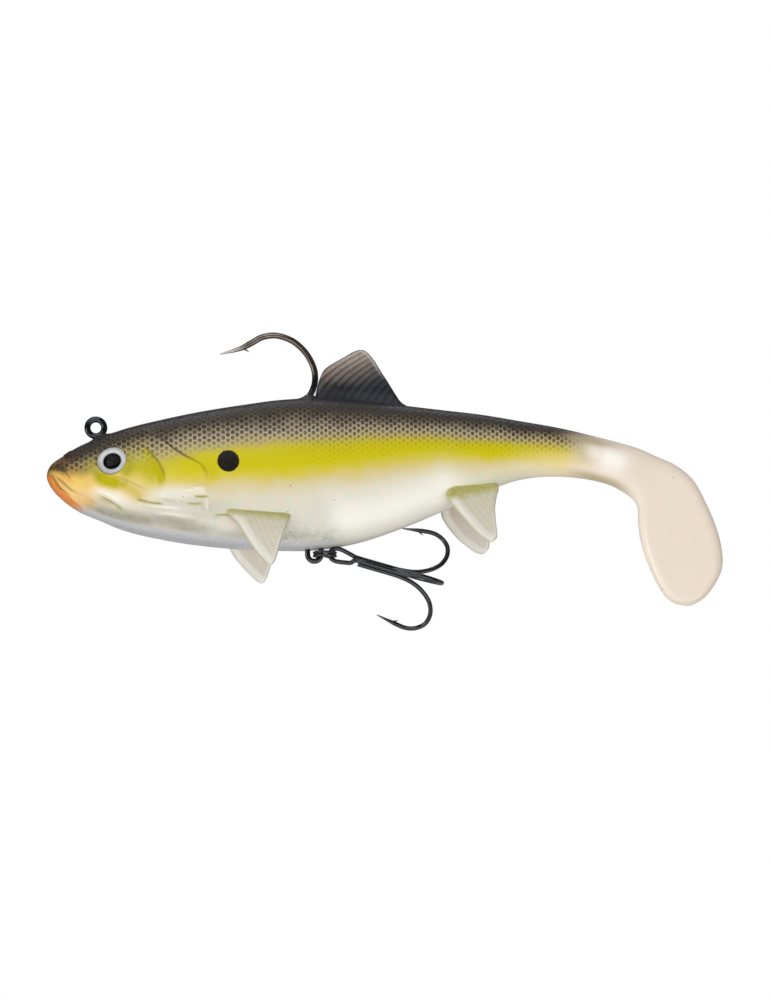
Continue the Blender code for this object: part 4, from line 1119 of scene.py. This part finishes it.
route = even_line(smooth_line([(x, 0.0, z) for x, z in JIG_ROUTE], 12), 0.3)
shank = tube(sweep(route, point_radii(route, JIG_WIRE_R, 6.5), 24))
barb = spike((30.3, 0.0, 16.75), (31.7, 0.0, 15.95), 0.3)
wire_piece("jig_hook_wire", [shank, barb], "body", "jig_hook", [route[-1]], 6.0, 0.9)

turns = np.linspace(0.0, 2 * np.pi, 73)[:-1, None]
spokes = np.hstack([np.cos(turns), 0 * turns, np.sin(turns)])[:, None]
circle = (2 * np.pi * np.arange(20) / 20)[:, None]
rings = LINE_EYE_MIDDLE + spokes * LINE_EYE_R + JIG_WIRE_R * (
    np.cos(circle) * spokes + np.sin(circle) * np.array((0.0, 1.0, 0.0)))
wire_piece("line_tie_ring", [tube(rings, ends=(), loop=True)], "body")

front, rear = HANGER_X - HANGER_BEND_R, HANGER_X + HANGER_BEND_R
bend = [(HANGER_X - HANGER_BEND_R * math.cos(a), HANGER_Z - HANGER_BEND_R * math.sin(a))
        for a in np.linspace(0, math.pi, 25)]
route = [(front - 0.8, -17.9), (front, -19.0), (front, -22.0), (front, -25.0), *bend,
         (rear, -25.0), (rear, -22.0), (rear, -19.0), (rear + 0.8, -17.9)]
route = even_line(np.array([(x, 0.0, z) for x, z in route]), 0.25)
route, radii = round_ends(route, np.full(len(route), HANGER_WIRE_R))
wire_piece("hanger_wire", [tube(sweep(route, radii, 20))], "body", "belly_hanger")

# The split ring: nearly two turns that change level in the last part of the first one.
angles = np.linspace(35.0, 685.0, 260)
level = smoothstep(0.0, 1.0, (angles - 325.0) / 70.0) - 0.5
turn = np.radians(angles + 90.0)
route = (RING_PIVOT + TREBLE_PIVOT) / 2 + np.column_stack(
    [RING_R * np.cos(turn), RING_R * np.sin(turn), RING_PITCH * level])
route, radii = round_ends(route, np.full(len(route), RING_WIRE_R))
wire_piece("split_ring_wire", [tube(sweep(route, radii, 16))], "split_ring", "split_ring")

AXIS = np.array((math.cos(TREBLE_SLOPE), 0.0, math.sin(TREBLE_SLOPE)))
UPWARD = np.array((-math.sin(TREBLE_SLOPE), 0.0, math.cos(TREBLE_SLOPE)))


def treble_line(pairs, turn):
    """Points at distances along the treble's axis and out from it, at a turn round it."""
    sideways = UPWARD * math.cos(turn) + np.array((0.0, math.sin(turn), 0.0))
    return [TREBLE_PIVOT + AXIS * along + sideways * out for along, out in pairs]


def treble_piece(name, node, points, turns, two_pointed):
    """A bent treble wire, ground to a point at its end or at both, with a barb at each of the turns."""
    route = even_line(smooth_line(points, 10), 0.22)
    radii = point_radii(route, TREBLE_WIRE_R, 4.5)
    if two_pointed:
        radii = np.minimum(radii, point_radii(route, TREBLE_WIRE_R, 4.5, at_start=True))
    barbs = [spike(*treble_line(TREBLE_BARB, turn), 0.26) for turn in turns]
    wire_piece(name, [tube(sweep(route, radii, 20)), *barbs], "treble", node,
               [route[0], route[-1]] if two_pointed else [route[-1]])


upper, lower, near = TREBLE_TURNS
treble_piece("treble_pair_wire", "treble_double_hook", [
    *treble_line(TREBLE_HOOK[::-1] + [(4.9, TREBLE_SHANK_R)], upper),
    *treble_line(TREBLE_EYE, 0.0), *treble_line(TREBLE_EYE[-2::-1], math.pi),
    *treble_line([(4.9, TREBLE_SHANK_R)] + TREBLE_HOOK, near)], (upper, near), True)
treble_piece("treble_third_wire", "treble_third_hook",
             treble_line([(5.0, TREBLE_SHANK_R)] + TREBLE_HOOK, lower), (lower,), False)

for node, *metal in (("ballast", "cast_lead", "4a4b4f", "6b6c70", 0.5, 400.0, 0.0002),
                     ("treble_braze", "braze_fill", "2e2d2e", "4b4642", 0.4, 900.0, 0.0001)):
    NODES[node].data.materials.clear()
    NODES[node].data.materials.append(plain_metal(*metal))

# ---------------------------------------------------------------- stage, light and camera

FLOOR_HALF, FLOOR_LEVEL = 4000.0, -420.0
FLOOR_GLOW = 0.5
LIGHT_TARGET = (0.06, 0.0, -0.01)
CLIP_START, CLIP_END = 0.05, 20.0
# Area lights, in metres and watts: place, size and power.
LIGHTS = {
    "key": ((-0.2, -0.8, 0.75), (1.0, 0.7), 5.15),
    "back": ((0.12, 0.36, 0.95), (0.7, 0.5), 1.5),
    "fill": ((-0.85, -0.55, -0.12), (0.4, 0.4), 2.3),
    "low": ((0.12, -0.4, -0.22), (0.7, 0.22), 0.95),
}


def plain_stage():
    """A wide pale floor well below the lure; its glow lights nothing, it only looks paler."""
    m = Material("floor_paper", Roughness=0.9)
    m.base = m.clouds(m.node("ShaderNodeTexCoord", out=3), 3.0, 3.0, (0.3, "f6f6f5"), (0.7, "fbfbfa"))
    m.feed(Emission_Strength=m.times(m.node("ShaderNodeLightPath"), FLOOR_GLOW))
    corners = [(FLOOR_HALF * x, FLOOR_HALF * y, FLOOR_LEVEL)
               for x, y in ((-1, -1), (1, -1), (1, 1), (-1, 1))]
    mesh_object("floor", corners, [(0, 1, 2, 3)], m.material)


def area_light(name, place, size, power):
    light = bpy.data.lights.new(name, "AREA")
    light.shape = "RECTANGLE"
    light.size, light.size_y = size
    light.energy = power
    item = bpy.data.objects.new(name, light)
    item.location = place
    toward = Vector(LIGHT_TARGET) - Vector(place)
    item.rotation_euler = toward.to_track_quat("-Z", "Y").to_euler()
    bpy.context.scene.collection.objects.link(item)


def light_world(diffuse, glossy, seen):
    """White surroundings with separate strengths for lighting, reflections and direct view."""
    world = bpy.data.worlds.new("studio")
    world.use_nodes = True
    bpy.context.scene.world = world
    tree = world.node_tree
    rays = tree.nodes.new("ShaderNodeLightPath")
    shade = tree.nodes["Background"]
    shade.inputs["Color"].default_value = (1.0, 1.0, 1.0, 1.0)
    shade.inputs["Strength"].default_value = diffuse
    result = shade.outputs[0]
    for output, strength in (("Is Glossy Ray", glossy), ("Is Camera Ray", seen)):
        white = tree.nodes.new("ShaderNodeBackground")
        white.inputs["Color"].default_value = (1.0, 1.0, 1.0, 1.0)
        white.inputs["Strength"].default_value = strength
        choose = tree.nodes.new("ShaderNodeMixShader")
        tree.links.new(rays.outputs[output], choose.inputs[0])
        tree.links.new(result, choose.inputs[1])
        tree.links.new(white.outputs[0], choose.inputs[2])
        result = choose.outputs[0]
    tree.links.new(result, tree.nodes["World Output"].inputs[0])


def aim_camera():
    azimuth, elevation = math.radians(VIEW_AZIMUTH), math.radians(VIEW_ELEVATION)
    right = Vector((math.cos(azimuth), math.sin(azimuth), 0.0))
    level_back = Vector((math.sin(azimuth), -math.cos(azimuth), 0.0))
    back = level_back * math.cos(elevation) + Vector((0.0, 0.0, math.sin(elevation)))
    up = back.cross(right)
    place = (right * AIM_RIGHT + up * AIM_UP + back * (LENS / SENSOR * PICTURE_HEIGHT)) * MM
    camera = bpy.data.cameras.new("camera")
    camera.lens, camera.sensor_width = LENS, SENSOR
    camera.clip_start, camera.clip_end = CLIP_START, CLIP_END
    item = bpy.data.objects.new("camera", camera)
    turn = Matrix((right, up, back)).transposed()
    item.matrix_world = Matrix.Translation(place) @ turn.to_4x4()
    bpy.context.scene.collection.objects.link(item)
    bpy.context.scene.camera = item


plain_stage()
light_world(diffuse=0.305, glossy=0.08, seen=1.0)
for name, settings in LIGHTS.items():
    area_light(name, *settings)
aim_camera()
bpy.context.scene.view_settings.view_transform = "Standard"
